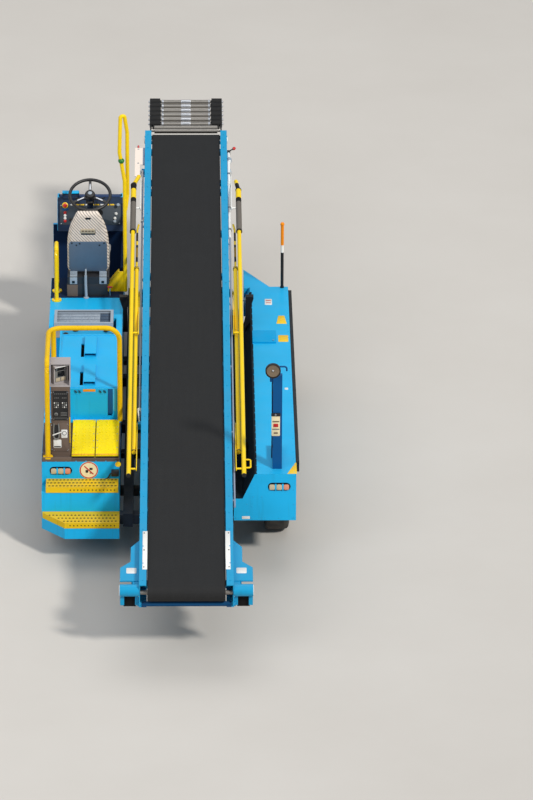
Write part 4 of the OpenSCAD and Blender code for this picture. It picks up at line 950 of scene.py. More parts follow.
class BELTLOADER_OT_seat(bpy.types.Operator):
    """Padded cushion and back with their shell, hinge brackets, tube and lever"""
    bl_idname = "beltloader.seat"
    bl_label = "Seat"

    def execute(self, context):
        swell = context.scene.belt_loader_sizes.seat_swell
        lean = turned(SEAT_LEAN, "X")
        back = CHASSIS @ Matrix.Translation(Vector((SEAT_X, SEAT_REAR, SEAT_Z)) * MM) @ lean
        rows = [(22, 170, 54), (60, 188, 56), (150, 193, 56), (260, 195, 56), (350, 191, 56), (430, 179, 54),
                (500, 160, 50), (572, 128, 46), (608, 106, 42), (630, 88, 34)]
        loft_pad("seat_back_pad", rows, back @ moved(0, -0.015, 0), "seat_vinyl", "seat_back", swell)
        rows = [(0, 176, 60), (30, 192, 70), (200, 196, 76), (360, 196, 82), (400, 190, 74), (418, 176, 60)]
        lying = Matrix(((1, 0, 0, 0), (0, 0, 1, 0), (0, -1, 0, 0), (0, 0, 0, 1)))
        seat = Matrix.Translation(Vector((SEAT_X, 1612, SEAT_Z + 8)) * MM + SHIFT) @ lying
        loft_pad("seat_cushion_pad", rows, seat, "seat_plain", "seat_cushion", swell)
        self.make_shell(moved(SEAT_X, SEAT_REAR, SEAT_Z) @ lean)
        self.make_brackets(moved(SEAT_X, SEAT_REAR, SEAT_Z) @ lean)
        return {"FINISHED"}

    def make_shell(self, tilt):
        """The plastic shell behind the back, with its screws and blank labels."""
        m = Maker("seat_shell")

        def behind(x, y, z):
            return tilt @ moved(x, y, z) @ STANDING

        shell = [(-150, 46), (150, 46), (166, 76), (165, 322), (152, 344), (-152, 344), (-165, 322), (-166, 76)]
        m.prism(shell, 9, behind(0, -84, 0), "seat_shell", 3)
        for x, h in ((-140, 332), (140, 332), (-100, 310), (100, 310), (-72, 326)):
            m.lathe([(0, 3), (5, 3), (8, 1.5), (8, 0), (0, 0)], behind(x, -93, h), "switch_black", 12)
        m.plate(126, 52, 8, 10, behind(3, -75, 436), "switch_black", 1.5)
        m.plate(124, 40, 6, 8, behind(0, -79, 446), "beige_plastic_and_reflection", 1)
        for k in range(4):
            m.plate(20, 14, 3, 1.2, behind(-42 + 28 * k, -87, 448), "lens_brown", 0.3)
        m.plate(48, 18, 8.8, 4, behind(2, -73, 568), "switch_black", 0.8)
        m.done("chassis")

    def make_brackets(self, tilt):
        """The hinge brackets, the skirt under the seat and the support tube with its foot."""
        b = Maker("seat_brackets")
        rear, wide = 1434, 64
        for side_x in (-160, 96):
            x0 = SEAT_X + side_x
            b.prism([(0, 0), (wide, 0), (wide, 48), (0, 48)], 6, tilt @ moved(side_x, -92, 0) @ STANDING,
                    "grey_enamel", 1)
            b.block((x0, rear, 985.4), (x0 + wide, 1502, 990), "grey_enamel", 1)
            b.block((x0, rear, 921), (x0 + wide, 1439.6, 990), "grey_enamel", 1)
            b.plate(24, 24, 3, 1.5, facing((x0 + 30, rear, 940), REARWARD), "switch_black", 0.3)
        # The skirt's dark grey is partly painted shade under the seat.
        b.block((-893, 1440.5, 800.8), (-536, 1452, 919), "seat_dark_shaded", 2)
        for x0, x1 in ((-889, -798), (-740, -716)):
            b.block((x0, 1438, 804), (x1, 1441, 912), "console_brown", 1)
        x = SEAT_X - 22
        b.tube([(x, 1420, 1010), (x, 1419, 930), (x + 4, 1416, 806)], 12, "grey_enamel", 18)
        b.tube([(x, 1420, 1004), (x, 1470, 1018), (x, 1498, 1040)], 8, "grey_enamel", 12)
        b.lathe([(0, 0), (24, 0), (24, 5), (17, 9), (0, 9)], moved(x + 4, 1412, 800.4), "grey_enamel", 24)
        b.done("chassis")


# Operator's platform

class BELTLOADER_OT_console(bpy.types.Operator):
    """Panels, keys and knobs of the conveyor's controls and the screen above"""
    bl_idname = "beltloader.console"
    bl_label = "Console"

    def execute(self, context):
        self.make_controls()
        self.make_screen()
        return {"FINISHED"}

    def make_controls(self):
        m = Maker("console_controls")
        middle, left, right, cover = -877.5, -926, -860, 3
        socket_x, switch_z = -913, 1149

        def face(x, z, lift=cover):
            return facing((x, CONSOLE_REAR - lift, z), REARWARD)

        m.plate(124, 262, 5, cover, face(middle, 1225, 0), "switch_black", 1)
        m.plate(122, 250, 5, cover, face(middle, 941, 0), "console_brown", 1)
        for z in (1104, 1346, 1058, 824):
            for x in (middle - 55, middle + 55):
                m.screw((x, CONSOLE_REAR - cover, z), REARWARD, 4)
        for x, z, count, pitch in ((left, 1330, 7, 16), (left + 4, 1294, 3, 14), (right, 1294, 3, 14)):
            for k in range(count):
                m.plate(9, 6, 1.5, 0.8, face(x + pitch * k, z), "panel_grey", 0.2)
        key = [(0, 0), (5.5, 0), (5.5, 3), (3.5, 4), (3, 10), (0, 11)]
        for x in (left, right):
            for col in range(3):
                for row in range(3):
                    material = "panel_grey" if (row + col) % 3 else "white_plastic"
                    m.lathe(key, face(x + 15 * col, 1250 - 19 * row), material, 12)
        m.lathe([(0, 0), (15, 0), (15, 4), (11, 7), (0, 7)], face(socket_x, switch_z), "panel_grey", 24)
        m.plate(5, 20, 2, 8, face(socket_x, switch_z, 10), "switch_black", 1)
        for k in range(3):
            m.plate(52, 4, 1.5, 0.8, face(-850, 1162 - 12 * k), "panel_grey", 0.2)
        m.plate(116, 3, 1, 0.8, face(middle, 1114), "panel_grey", 0.2)
        m.block((-806, CONSOLE_REAR - 2, 890), (-800, -1738, 1120), "yellow_plastic", 1)
        m.label((-848, CONSOLE_REAR - cover, 973), REARWARD, 50, 74, "white_plastic")
        m.lathe([(14, 0), (19, 0), (19, 1.5), (14, 1.5)], face(-848, 978, 4), "panel_grey", 24)
        m.label((-905, CONSOLE_REAR - cover, 884), REARWARD, 64, 74, "white_plastic")
        m.block((-933, CONSOLE_REAR - 5, 852), (-878, CONSOLE_REAR - 3.9, 862), "switch_black", 0.3)
        loop = [(-932, 1066), (-936, 1000), (-934, 942), (-912, 922), (-892, 942), (-890, 1000), (-894, 1064)]
        m.tube([(x, CONSOLE_REAR - 9, z) for x, z in loop], 6, "panel_grey", 10, bend=18)
        m.plate(34, 118, 15, 2, face(socket_x, 996), "switch_black", 0.5)
        m.prism([(-36, -6), (36, 22), (36, 32), (-36, 5)], 2, face(-908, 966, 14), "white_plastic", 0.4)
        m.done("chassis")

    def make_screen(self):
        s = Maker("screen_face")
        turn = moved(-885.5, -1655, 1397.3) @ turned(28, "Z")
        # From x0 to x1 and z0 to z1 in the screen's own axes, from the front at y0 back to y1
        for x0, x1, z0, z1, y0, y1, material, bevel in (
                (-54, 54, 14, 140, -27, -24, "panel_grey", 1),
                (-30, 34, 58, 106, -28, -27, "screen_glass", 0.4),
                (-50, 50, 112, 136, -29, -27, "switch_black", 1),
                # The beige of the two plates at the screen's foot is a painted reflection.
                (-46, -6, 18, 50, -29, -27, "beige_plastic_and_reflection", 1),
                (2, 46, 18, 50, -29, -27, "beige_plastic_and_reflection", 1),
                (-63, 63, 151, 157, -54, -52, "white_enamel", 0.8)):
            place = turn @ moved(0, y1, 0) @ STANDING
            s.prism([(x0, z0), (x1, z0), (x1, z1), (x0, z1)], y1 - y0, place, material, bevel)
        for x in (-38, 38):
            place = turn @ moved(x, -29, 124) @ STANDING
            s.lathe([(0, 0), (5, 0), (5, 2), (3, 3), (0, 3)], place, "bright_steel", 12)
        s.done("chassis")


# Bodies

class BELTLOADER_OT_left_trim(bpy.types.Operator):
    """Caps, hoses, edge strips and labels of the left body, its hood and its vent"""
    bl_idname = "beltloader.left_trim"
    bl_label = "Left body trim"

    def execute(self, context):
        self.make_body_trim()
        self.make_hood_trim()
        self.make_slats()
        return {"FINISHED"}

    def make_body_trim(self):
        m = Maker("left_body_trim")
        m.block((-983, 110, LEFT_TOP), (-925, 285, 1002.5), "grip_deck", 0.8)
        for x, y, r in ((-875, 169, 22), (-794, 259, 20), (-536, 251, 16)):
            cap = [(0, 0), (r + 5, 0), (r + 5, 3), (r, 5), (r - 1, 15), (r - 5, 18), (r * 0.4, 18),
                   (r * 0.35, 22), (0, 22)]
            m.lathe(cap, moved(x, y, LEFT_TOP), "switch_black", 28)
        m.tube([(-536, 251, 1012), (-536, 200, 1030), (-470, 190, 1030), (-452, 150, 1004)], 7,
               "black_rubber", 10)
        m.plate(60, 26, 3, 1, facing((-640, 30, 1000.3), UP, FORWARD), "grey_enamel", 0.2)
        # Painted shade: a strip of the shaded side blue on the left top ahead of the hood.
        m.block((-904, 90, 994), (-451, 289, 1000.4), "shaded_side_blue", 0.8)
        m.block((-1030, -1803.5, 750), (-792, PLATFORM_REAR, 786), "console_brown", 1)
        m.done("chassis")

    def make_hood_trim(self):
        m = Maker("hood_trim")
        low = HOOD_TOP - 0.4
        for y0, y1 in ((-1010, -996), (40, 54)):
            m.block((-905, y0, low), (-418, y1, 1054), "blue_paint", 1.8)
        for x0, x1 in ((-905, -893), (-430, -418)):
            m.block((x0, -1010, low), (x1, 54, 1053.4), "blue_paint", 1.6)

        def rear(x, z):
            return facing((x, HOOD_REAR - 0.3, z), REARWARD)

        m.plate(102, 22, 3, 1.2, rear(-657, 1034), "orange_label", 0.3)
        # Painted shade: a navy strip standing for a shaded recess on the hood's rear.
        m.plate(40, 226, 3, 1.5, rear(-483, 934), "recess_shade_navy", 0.4)
        m.plate(24, 196, 3, 1.5, rear(-448, 946), "pale_blue", 0.4)
        for x in (-770, -738, -567, -530):
            m.plate(20, 26, 5, 4, rear(x, 1026), "shaded_side_blue", 1.4)
            m.tube([(x - 9, -1038, 1036), (x + 4, -1044, 1030), (x + 9, -1038, 1014)], 3.5, "switch_black", 8)
        # Painted shade: black strips for the dark openings at the rear of the hood's scoops.
        for y in (-915, -345):
            m.prism([(-44, 0), (44, 0), (44, 20), (-44, 20)], 3, moved(-657.5, y, 1053) @ STANDING,
                    "shade_liner_black", 0.5)
        m.done("hood")

    def make_slats(self):
        v = Maker("grille_slats")
        # Every other slat takes a darker finish: painted shade in the gaps between the slats.
        for i in range(8):
            slat = moved(-955, 322 + 29 * i, 1012) @ turned(45, "X") @ moved(0, 0, 4)
            for x0, x1, materials in ((2, 364, ("grey_enamel", "slat_shaded_grey")),
                                      (367, 457, ("slat_blue", "slat_shaded_navy"))):
                v.prism([(x0, 15), (x1, 15), (x1, 29), (x0, 29)], 0.8, slat, materials[i % 2], 0.2)
        v.block((-950, 549, 1050), (-500, 552, 1055), "switch_black", 0.8)
        v.done("chassis")


class BELTLOADER_OT_right_trim(bpy.types.Operator):
    """Blank labels and handles on the right body, the sign and cable on the post, and the lamp's glass"""
    bl_idname = "beltloader.right_trim"
    bl_label = "Right body trim"

    def execute(self, context):
        m = Maker("right_body_trim")

        def top(x, y, lift=0.0):
            return facing((x, y, RIGHT_TOP + lift), UP, FORWARD)

        m.label((859, 1283, RIGHT_TOP), UP, 62, 128, "white_plastic", FORWARD)
        for y in (1310, 1262):
            m.plate(44, 14, 3, 0.6, top(859, y, 1), "red_plastic", 0.15)
        m.label((975, 503, RIGHT_TOP), UP, 86, 140, "yellow_plastic", FORWARD)
        m.prism([(-44, -85), (44, -85), (26, 86), (-26, 86)], 1.2, top(966, 899), "yellow_plastic", 0.3)
        m.plate(30, 44, 5, 9, top(889, 452), "black_plastic", 2.5)
        m.tube([(880, 440, 824), (889, 428, 838), (898, 440, 824)], 3.5, "bright_steel", 8)
        m.label((984, -528, RIGHT_TOP), UP, 28, 40, "white_plastic", FORWARD)
        m.prism([(-38, -104), (40, -104), (40, 104), (30, 104)], 1, top(1000, -2080), "yellow_plastic", 0.25)
        m.label((628, BODY_REAR, 425), REARWARD, 64, 26, "white_plastic")
        m.done("chassis")

        p = Maker("lamp_post_trim")
        sign_x = 868
        p.plate(68, 186, 8, 4, facing((sign_x, POST_REAR, 1204), REARWARD), "sign_cream", 1)
        p.plate(74, 26, 4, 9, facing((sign_x, POST_REAR, 1302), REARWARD), "black_plastic", 1.5)
        p.screw((866, POST_REAR - 9, 1302), REARWARD, 9)
        blanks = ((54, 12, "lens_brown"), (40, 30, "red_plastic"), (58, 10, "panel_grey"), (34, 14, "lens_brown"))
        for k, (w, h, material) in enumerate(blanks):
            p.plate(w, h, 4, 1, facing((sign_x, POST_REAR - 4.5, 1240 - 34 * k), REARWARD), material, 0.3)
        cable = [(841, -2078, 1640), (838, -2072, 1560), (840, -2066, 1200), (836, -2062, 900),
                 (836, -1980, 885)]
        p.tube(cable, 5, "navy_paint", 10)
        for z in (1480, 1320, 1000):
            p.block((834, -2078, z), (850, -2060, z + 16), "black_plastic", 2)
        p.done("chassis")

        g = Maker("work_lamp_glass")
        bowl = facing((843, -2140.5, 1712), REARWARD)
        g.lathe([(0, 1), (18, 1), (50, 9), (52, 9), (52, 0), (0, 0)], bowl, "lens_brown", 32)
        g.lathe([(0, 0), (9, 0), (9, 5), (5, 9), (0, 9)], bowl @ moved(0, 0, 1), "bright_steel", 20)
        g.done("chassis")
        return {"FINISHED"}


class BELTLOADER_OT_lamps(bpy.types.Operator):
    """Lenses of the two rear lamps, the round sign, the camera and its cable"""
    bl_idname = "beltloader.lamps"
    bl_label = "Rear lamps"

    def execute(self, context):
        m = Maker("rear_lenses")
        for x, y, z in ((-880, PLATFORM_REAR, 665), (897, BODY_REAR, 703)):
            for dx, material in ((-58, "lens_cream"), (0, "lens_cream"), (58, "lens_amber")):
                m.prism(rounded_outline(44, 48, 12, 6), 7, facing((x + dx, y - 6, z), REARWARD), material, 3)
            for dx in (-29, 29):
                m.plate(15, 58, 2, 5, facing((x + dx, y - 6, z), REARWARD), "blue_paint", 1)
        m.done("chassis")

        s = Maker("rear_sign")
        face = facing((-651, PLATFORM_REAR - 0.5, 670), REARWARD)
        s.lathe([(0, 0), (76, 0), (76, 3), (0, 3)], face, "sign_cream", 48)
        s.lathe([(66, 3), (74, 3), (74, 3.8), (66, 3.8)], face, "red_plastic", 48)
        s.prism([(-52, -5), (52, -5), (52, 5), (-52, 5)], 0.9, face @ moved(0, 0, 3) @ turned(-45, "Z"),
                "red_plastic", 0.2)
        for x, y, w, h in ((-16, -10, 22, 26), (18, 12, 26, 20), (14, -26, 16, 9)):
            s.plate(w, h, 4, 0.6, face @ moved(x, y, 3), "switch_black", 0.15)
        s.done("chassis")

        c = Maker("rear_camera")
        c.block((-468, -1838, 626), (-404, PLATFORM_REAR, 680), "black_plastic", 6)
        c.lathe([(0, 0), (14, 0), (14, 10), (10, 12), (0, 9)], facing((-434, -1838, 652), (0, -1, -0.2)),
                "switch_black", 20)
        c.lathe([(0, 0), (24, 0), (24, 1.2), (0, 1.2)], facing((-412, PLATFORM_REAR - 1, 722), REARWARD),
                "yellow_plastic", 28)
        cord = [(-462, -1812, 652), (-476, -1812, 640), (-486, -1810, 618), (-500, -1806, 596),
                (-520, -1801, 590)]
        c.tube(cord, 5, "black_rubber", 10, bend=30)
        c.done("chassis")
        return {"FINISHED"}


# Conveyor

def ring_profile(inner, low, high, half, edge=2):
    """A clamp round a tube: bevelled from the low to the high radius over its edges, half as long as it is."""
    return [(inner, -half), (low, -half), (high, edge - half), (high, half - edge), (low, half), (inner, half)]


class BELTLOADER_OT_conveyor(bpy.types.Operator):
    """Strips, caps, clamps and labels along the conveyor's side frames"""
    bl_idname = "beltloader.conveyor"
    bl_label = "Conveyor trim"

    def execute(self, context):
        self.make_trim()
        self.make_hoses()
        self.make_head()
        return {"FINISHED"}

    def make_trim(self):
        m = Maker("conveyor_trim", BOOM)
        for side in SIDES:
            near, far = sorted((side * 308, side * 346))
            m.block((near, -3735, 22), (far, -3150, 23.6), "white_enamel", 0.6)
            m.label((side * 432, -3667, -30), UP, 80, 84, "white_plastic", FORWARD)
            near, far = sorted((side * 396, side * 494))
            # Painted shadow: black plates on the tail bracket's sides.
            m.block((near, -3915, -205), (far, -3911, -84), "shade_liner_black", 1)
            for s in (-3180, -3440, -3700):
                m.screw((side * 334, s, 23.6), UP, 6, "switch_black")
            for s in (-3930, 3978):
                m.lathe([(0, 0), (34, 0), (34, 6), (28, 10), (12, 11), (0, 14)],
                        facing((side * BOOM_SIDE, s, SIDE_CAP_W), (side, 0, 0)), "white_enamel", 28)
            m.lathe([(0, 0), (46, 0), (46, 3), (38, 7), (0, 7)],
                    facing((side * 520, -3930, -50), (side, 0, 0)), "white_plastic", 32)
            for s in range(-3300, 3800, 800):
                m.label((side * BOOM_SIDE, s, -100), (side, 0, 0), 70, 24, "grey_enamel")
            near, far = sorted((side * BOOM_SIDE, side * (BOOM_SIDE + 4)))
            for s in range(-3600, 3900, 400):
                m.block((near, s - 22, -160), (far, s + 22, -120), "shaded_side_blue", 1.2)
        m.done("boom")

    def make_hoses(self):
        h = Maker("hose_clamps", BOOM)
        left, right = -387, 383.3

        def round_hose(x, s):
            return facing((x, s, HOSE_W), FORWARD)

        clamp = [(12.6, -13), (17, -13), (18, -9), (18, 9), (17, 13), (12.6, 13)]
        for s in (2100, 2520, 3180):
            h.lathe(clamp, round_hose(right, s), "zinc", 24)
        joint = [(12.6, -30), (20, -30), (20, -14), (17, -10), (17, 10), (20, 14), (20, 30), (12.6, 30)]
        h.lathe(joint, round_hose(right, 2985), "white_plastic", 24)
        h.lathe([(17.4, -24), (21, -24), (22, -20), (22, 20), (21, 24), (17.4, 24)], round_hose(391.3, 3466),
                "grey_enamel", 24)
        h.rod((385, 3470, HOSE_W), (385, 3600, HOSE_W), 13, "white_enamel")
        h.block((373, 3600, -34), (401, 3648, -6), "black_plastic", 4)
        h.tube([(390, 3630, -14), (408, 3652, -10), (428, 3668, -7)], 6, "switch_black", 12, bend=20)
        h.lathe([(0, 0), (8, 0), (13, 6), (15, 16), (12, 27), (5, 33), (0, 33)],
                facing((424, 3666, -8), (0.7, 0.7, 0.1)), "red_plastic", 24)
        h.lathe(ring_profile(8.4, 12, 13, 10), round_hose(left, 2270), "white_plastic", 20)
        h.rod((left, -1240, HOSE_W), (left, -900, HOSE_W), 8, "boom_pieces")
        for s, lean in ((-1120, 8), (-1134, -10), (-1148, 4)):
            turn = [math.pi * k / 5 for k in range(11)]
            hoop = [(left + 15 * math.cos(a), s + lean * math.sin(a), HOSE_W + 15 * math.sin(a)) for a in turn]
            h.tube(hoop, 5, "white_plastic", 8, bend=6)
        end = [(-390, -1134, -4), (-396, -1180, 2), (-392, -1240, -12), (-386, -1300, -30)]
        h.tube(end, 4.5, "white_plastic", 8)
        h.done("boom")

    def make_head(self):
        p = Maker("head_plate_trim", BOOM)
        for s in (3688, 3706):
            p.lathe([(0, 0), (9, 0), (9, 8), (6, 12), (0, 12)], facing((-430, s, -2), UP), "red_plastic", 16)
        for s in (3090, 3370, 3650):
            p.screw((-430, s, 0), UP, 8)
        p.plate(16, 60, 4, 4, facing((-373, 2330, -30), (-1, 0, 0), FORWARD), "orange_label", 1)
        # Painted shade: a black strip across the conveyor's head.
        p.block((-314, 3990, -75), (314, 4070, -70), "shade_liner_black", 1)
        p.done("boom")


class BELTLOADER_OT_rollers(bpy.types.Operator):
    """Bright sleeves painted as the lit middles of the nose rollers, whose ends lie in shade, and the rollers'
    bright axle ends
    """
    bl_idname = "beltloader.rollers"
    bl_label = "Nose rollers"

    def execute(self, context):
        m = Maker("roller_sleeves", BOOM)
        b = Maker("cheek_caps", BOOM)
        first, pitch, inner = 4213, 92, 18.6
        sleeve = [(inner, -44), (20.6, -44), (21, -42), (21, 42), (20.6, 44), (inner, 44)]
        collar = [(inner, 0), (20, 0), (20.4, 2), (20.4, 16), (inner, 18)]
        axle_end = [(0, 0), (24, 0), (24, 2), (19, 5), (11, 5), (10, 13), (8, 15), (0, 15)]
        for i in range(6):
            s = first + pitch * i
            # Painted light: the bright sleeve is the roller's lit middle, between ends in shade.
            m.lathe(sleeve, facing((0, s, ROLLER_W), (1, 0, 0)), "bright_steel", 32)
            for side in SIDES:
                m.lathe(collar, facing((side * 205, s, ROLLER_W), (side, 0, 0)), "zinc", 32)
                b.lathe(axle_end, facing((side * 329, s, ROLLER_W), (side, 0, 0)), "bright_steel", 24)
        m.done("nose")
        b.done("nose")
        return {"FINISHED"}


class BELTLOADER_OT_handrails(bpy.types.Operator):
    """Collars, caps and washers of the rails and posts, the green knob and the lever"""
    bl_idname = "beltloader.handrails"
    bl_label = "Handrail fittings"

    def execute(self, context):
        for side, sign, foam_end in (("left", -1, 2850), ("right", 1, 2750)):
            r = Maker(f"rail_collars_{side}", BOOM)
            rail, mid_rail = sign * RAIL_X, sign * MID_RAIL_X
            for s in (1960, foam_end):
                r.lathe(ring_profile(18.2, 26.4, 27.4, 8), facing((rail, s, RAIL_W), FORWARD), "black_rubber",
                        28)
            r.lathe([(0, -6), (17, -6), (18.6, -4), (18.6, 2), (0, 2)], facing((rail, -2300, RAIL_W), FORWARD),
                    "switch_black", 24)
            r.done(f"rail_{side}_body")
            d = Maker(f"mid_rail_collars_{side}", BOOM)
            for s in (1362, 1338, -1830):
                d.lathe(ring_profile(18.1, 21, 22, 5), facing((mid_rail, s, MID_RAIL_W), FORWARD),
                        "black_plastic", 24)
            d.done(f"mid_rail_{side}_body")
            for i, base in enumerate((-1300, 1000, 3300)):
                w = Maker(f"post_pins_{side}_{i + 1}", BOOM)
                w.lathe([(10.4, 0), (19, 0), (19, 2), (15, 2.5), (15, 5), (10.4, 5)],
                        facing((sign * 407, base, -60), (sign, 0, 0)), "zinc", 20)
                w.done(f"post_{side}_{i + 1}_body")
        self.make_grab_fittings()
        return {"FINISHED"}

    def make_grab_fittings(self):
        g = Maker("grab_knob")
        g.lathe([(0, -4), (20, -4), (26, 6), (27, 16), (22, 26), (10, 33), (0, 34)],
                facing((-414, 1566, 2014), (0.1, -0.4, 1)), "green_plastic", 28)
        for y in (1360, 1560):
            for k in range(4):
                a = math.radians(45 + 90 * k)
                g.screw((-980 + 31 * math.cos(a), y + 31 * math.sin(a), DECK + 10.4), UP, 6)
        g.tube([(-517, 1440, DECK), (-517, 1440, 884)], 4, "bright_steel", 10)
        g.tube([(-538, 1440, 890), (-496, 1440, 890)], 8, "red_plastic", 12)
        g.done("chassis")


# What repeats

def start_tree(name, inputs):
    """A Geometry Nodes tree with (name, type, default) inputs and a material."""
    inputs = [("Geometry", "Geometry", None), *inputs, ("Material", "Material", None)]
    tree, i, o = new_group(name, inputs, [("Geometry", "Geometry")], "GeometryNodeTree")
    tree.is_modifier = True
    return tree, i, o


def end_tree(tree, i, o, instances):
    """Makes the instances real, gives them the material and leads them out."""
    real = node(tree, "GeometryNodeRealizeInstances", {0: instances})[0]
    feed(tree, o, {0: node(tree, "GeometryNodeSetMaterial", {"Geometry": real, "Material": i["Material"]})[0]})
    return tree


def low_head(tree, i, taper, **counts):
    """A low cone cut off at the top, for a rivet, a screw or a pressed slot."""
    sizes = {"Radius Bottom": i["Radius"], "Radius Top": times(tree, i["Radius"], taper), "Depth": i["Height"]}
    return node(tree, "GeometryNodeMeshCone", {**sizes, **counts})["Mesh"]


def placed(tree, points, instance, **turns):
    return node(tree, "GeometryNodeInstanceOnPoints", {"Points": points, "Instance": instance, **turns})[0]


def heads_tree():
    """Puts a low domed head on every point of a mesh, turned to the point's own direction."""
    tree, i, o = start_tree("Heads on points", [("Radius", "Float", 0.006), ("Height", "Float", 0.003),
                                                ("Sides", "Int", 10)])
    head = low_head(tree, i, 0.62, **{"Vertices": i["Sides"], "Side Segments": 1})
    points = node(tree, "GeometryNodeMeshToPoints", {"Mesh": i["Geometry"]})[0]
    way = node(tree, "GeometryNodeInputNamedAttribute", {"Name": "out"}, data_type="FLOAT_VECTOR")["Attribute"]
    turn = node(tree, "FunctionNodeAlignRotationToVector", {"Vector": way}, axis="Z")[0]
    return end_tree(tree, i, o, placed(tree, points, head, Rotation=turn))


def slots_tree():
    """A field of low oval bumps, long across the plate, in rows and columns."""
    tree, i, o = start_tree("Pressed slots", [
        ("Columns", "Int", 3), ("Rows", "Int", 10), ("Width", "Float", 0.12), ("Length", "Float", 0.6),
        ("Radius", "Float", 0.008), ("Height", "Float", 0.003), ("Stretch", "Float", 2.0)])
    grid = node(tree, "GeometryNodeMeshGrid", {"Size X": i["Width"], "Size Y": i["Length"],
                                               "Vertices X": i["Columns"], "Vertices Y": i["Rows"]})["Mesh"]
    oval = node(tree, "ShaderNodeCombineXYZ", {"X": i["Stretch"], "Y": 1.0, "Z": 1.0})[0]
    return end_tree(tree, i, o, placed(tree, grid, low_head(tree, i, 0.6, Vertices=12), Scale=oval))


def tread_tree():
    """One row of slanted tread blocks round a tyre."""
    tree, i, o = start_tree("Tread blocks", [
        ("Count", "Int", 46), ("Radius", "Float", 0.32), ("Block", "Vector", None), ("Offset", "Float", 0.05),
        ("Turn", "Float", 0.0), ("Slant", "Float", 0.3)])
    ring = node(tree, "GeometryNodeMeshCircle", {"Vertices": i["Count"], "Radius": i["Radius"]})["Mesh"]
    block = node(tree, "GeometryNodeMeshCube", {"Size": i["Block"]})["Mesh"]
    slant = node(tree, "ShaderNodeCombineXYZ", {"X": i["Slant"]})[0]
    block = node(tree, "GeometryNodeTransform", {"Geometry": block, "Rotation": slant})["Geometry"]
    outwards = node(tree, "FunctionNodeAlignRotationToVector",
                    {"Vector": node(tree, "GeometryNodeInputPosition")[0]}, axis="X", pivot_axis="Z")[0]
    row = placed(tree, ring, block, Rotation=outwards)
    offset = node(tree, "ShaderNodeCombineXYZ", {"Z": i["Offset"]})[0]
    turn = node(tree, "ShaderNodeCombineXYZ", {"Z": i["Turn"]})[0]
    row = node(tree, "GeometryNodeTransform", {"Geometry": row, "Translation": offset, "Rotation": turn})
    return end_tree(tree, i, o, row["Geometry"])


def grow(name, mesh, tree, **values):
    """An object whose mesh is what a tree makes of the given one."""
    obj = add_object(name, mesh)
    modifier = obj.modifiers.new("grow", "NODES")
    modifier.node_group = tree
    for socket in tree.interface.items_tree:
        if socket.item_type == "SOCKET" and socket.in_out == "INPUT" and socket.name in values:
            modifier[socket.identifier] = values[socket.name]
    settle(obj)
    return obj


def scatter(name, points, axes, tree, radius, height, sides, material, body):
    """One mesh of heads at (place, direction) pairs, given in millimetres."""
    mesh = bpy.data.meshes.new(name)
    mesh.from_pydata([axes @ (Vector(p) * MM) for p, _ in points], [], [])
    out = mesh.attributes.new("out", "FLOAT_VECTOR", "POINT")
    for k, (_, way) in enumerate(points):
        out.data[k].vector = (axes.to_3x3() @ Vector(way)).normalized()
    obj = grow(name, mesh, tree, Radius=radius, Height=height, Sides=sides, Material=MATERIALS[material])
    shade_by_angle(obj.data)
    ride(obj, body)


def line(a, b, pitch, way):
    """Places from a to b at about the pitch, each with its direction."""
    a, b = Vector(a), Vector(b)
    n = max(1, round((b - a).length / pitch))
    return [(a + (b - a) * k / n, way) for k in range(n + 1)]


class BELTLOADER_OT_fasteners(bpy.types.Operator):
    """Rivets, screws and bolts along seams, plates and panels"""
    bl_idname = "beltloader.fasteners"
    bl_label = "Fasteners"

    def execute(self, context):
        sizes = context.scene.belt_loader_sizes
        pitch = sizes.rivet_pitch / MM
        tree = heads_tree()
        rivets = []
        for z in (748, 612):
            rivets += line((-1000, PLATFORM_REAR, z), (-430, PLATFORM_REAR, z), pitch, REARWARD)
        rivets += line((-910, HOOD_REAR, 785), (-410, HOOD_REAR, 785), pitch * 1.5, REARWARD)
        for x, z in ((545, 580), (1015, 795)):
            rivets += line((x, BODY_REAR, z), (x, BODY_REAR, 420), pitch * 1.5, REARWARD)
        for x in (715, 1020):
            rivets += line((x, -2150, RIGHT_TOP), (x, 1540, RIGHT_TOP), pitch * 1.5, UP)
        rivets += line((560, BODY_REAR, 420), (1010, BODY_REAR, 420), pitch * 1.5, REARWARD)
        for x, z in ((685, 612), (756, 612), (639, 545), (677, 524), (637, 467), (678, 416), (754, 413)):
            rivets.append(((x, BODY_REAR, z), REARWARD))
        scatter("body_rivets", rivets, CHASSIS, tree, sizes.rivet_r, 0.0025, 10, "blue_paint", "chassis")
        screws = []
        for x in (-778, -616, -584, -422):
            screws += line((x, -1763, PLATE_TOP), (x, -1100, PLATE_TOP), 132, UP)
        for x in (-950, -817):
            screws += [((x, CONSOLE_REAR, z), REARWARD) for z in (830, 1050, 1110, 1340)]
        scatter("deck_screws", screws, CHASSIS, tree, 0.006, 0.003, 6, "zinc", "chassis")
        bolts = []
        for side in SIDES:
            outer, top = side * BOOM_SIDE, side * 342
            bolts += line((outer, -3800, -160), (outer, 3900, -160), 200, (side, 0, 0))
            bolts += line((outer, -3700, 4), (outer, 3900, 4), 400, (side, 0, 0))
            bolts += line((top, -3900, 22), (top, 3900, 22), 260, UP)
        scatter("conveyor_bolts", bolts, BOOM, tree, 0.008, 0.004, 6, "shaded_side_blue", "boom")
        return {"FINISHED"}


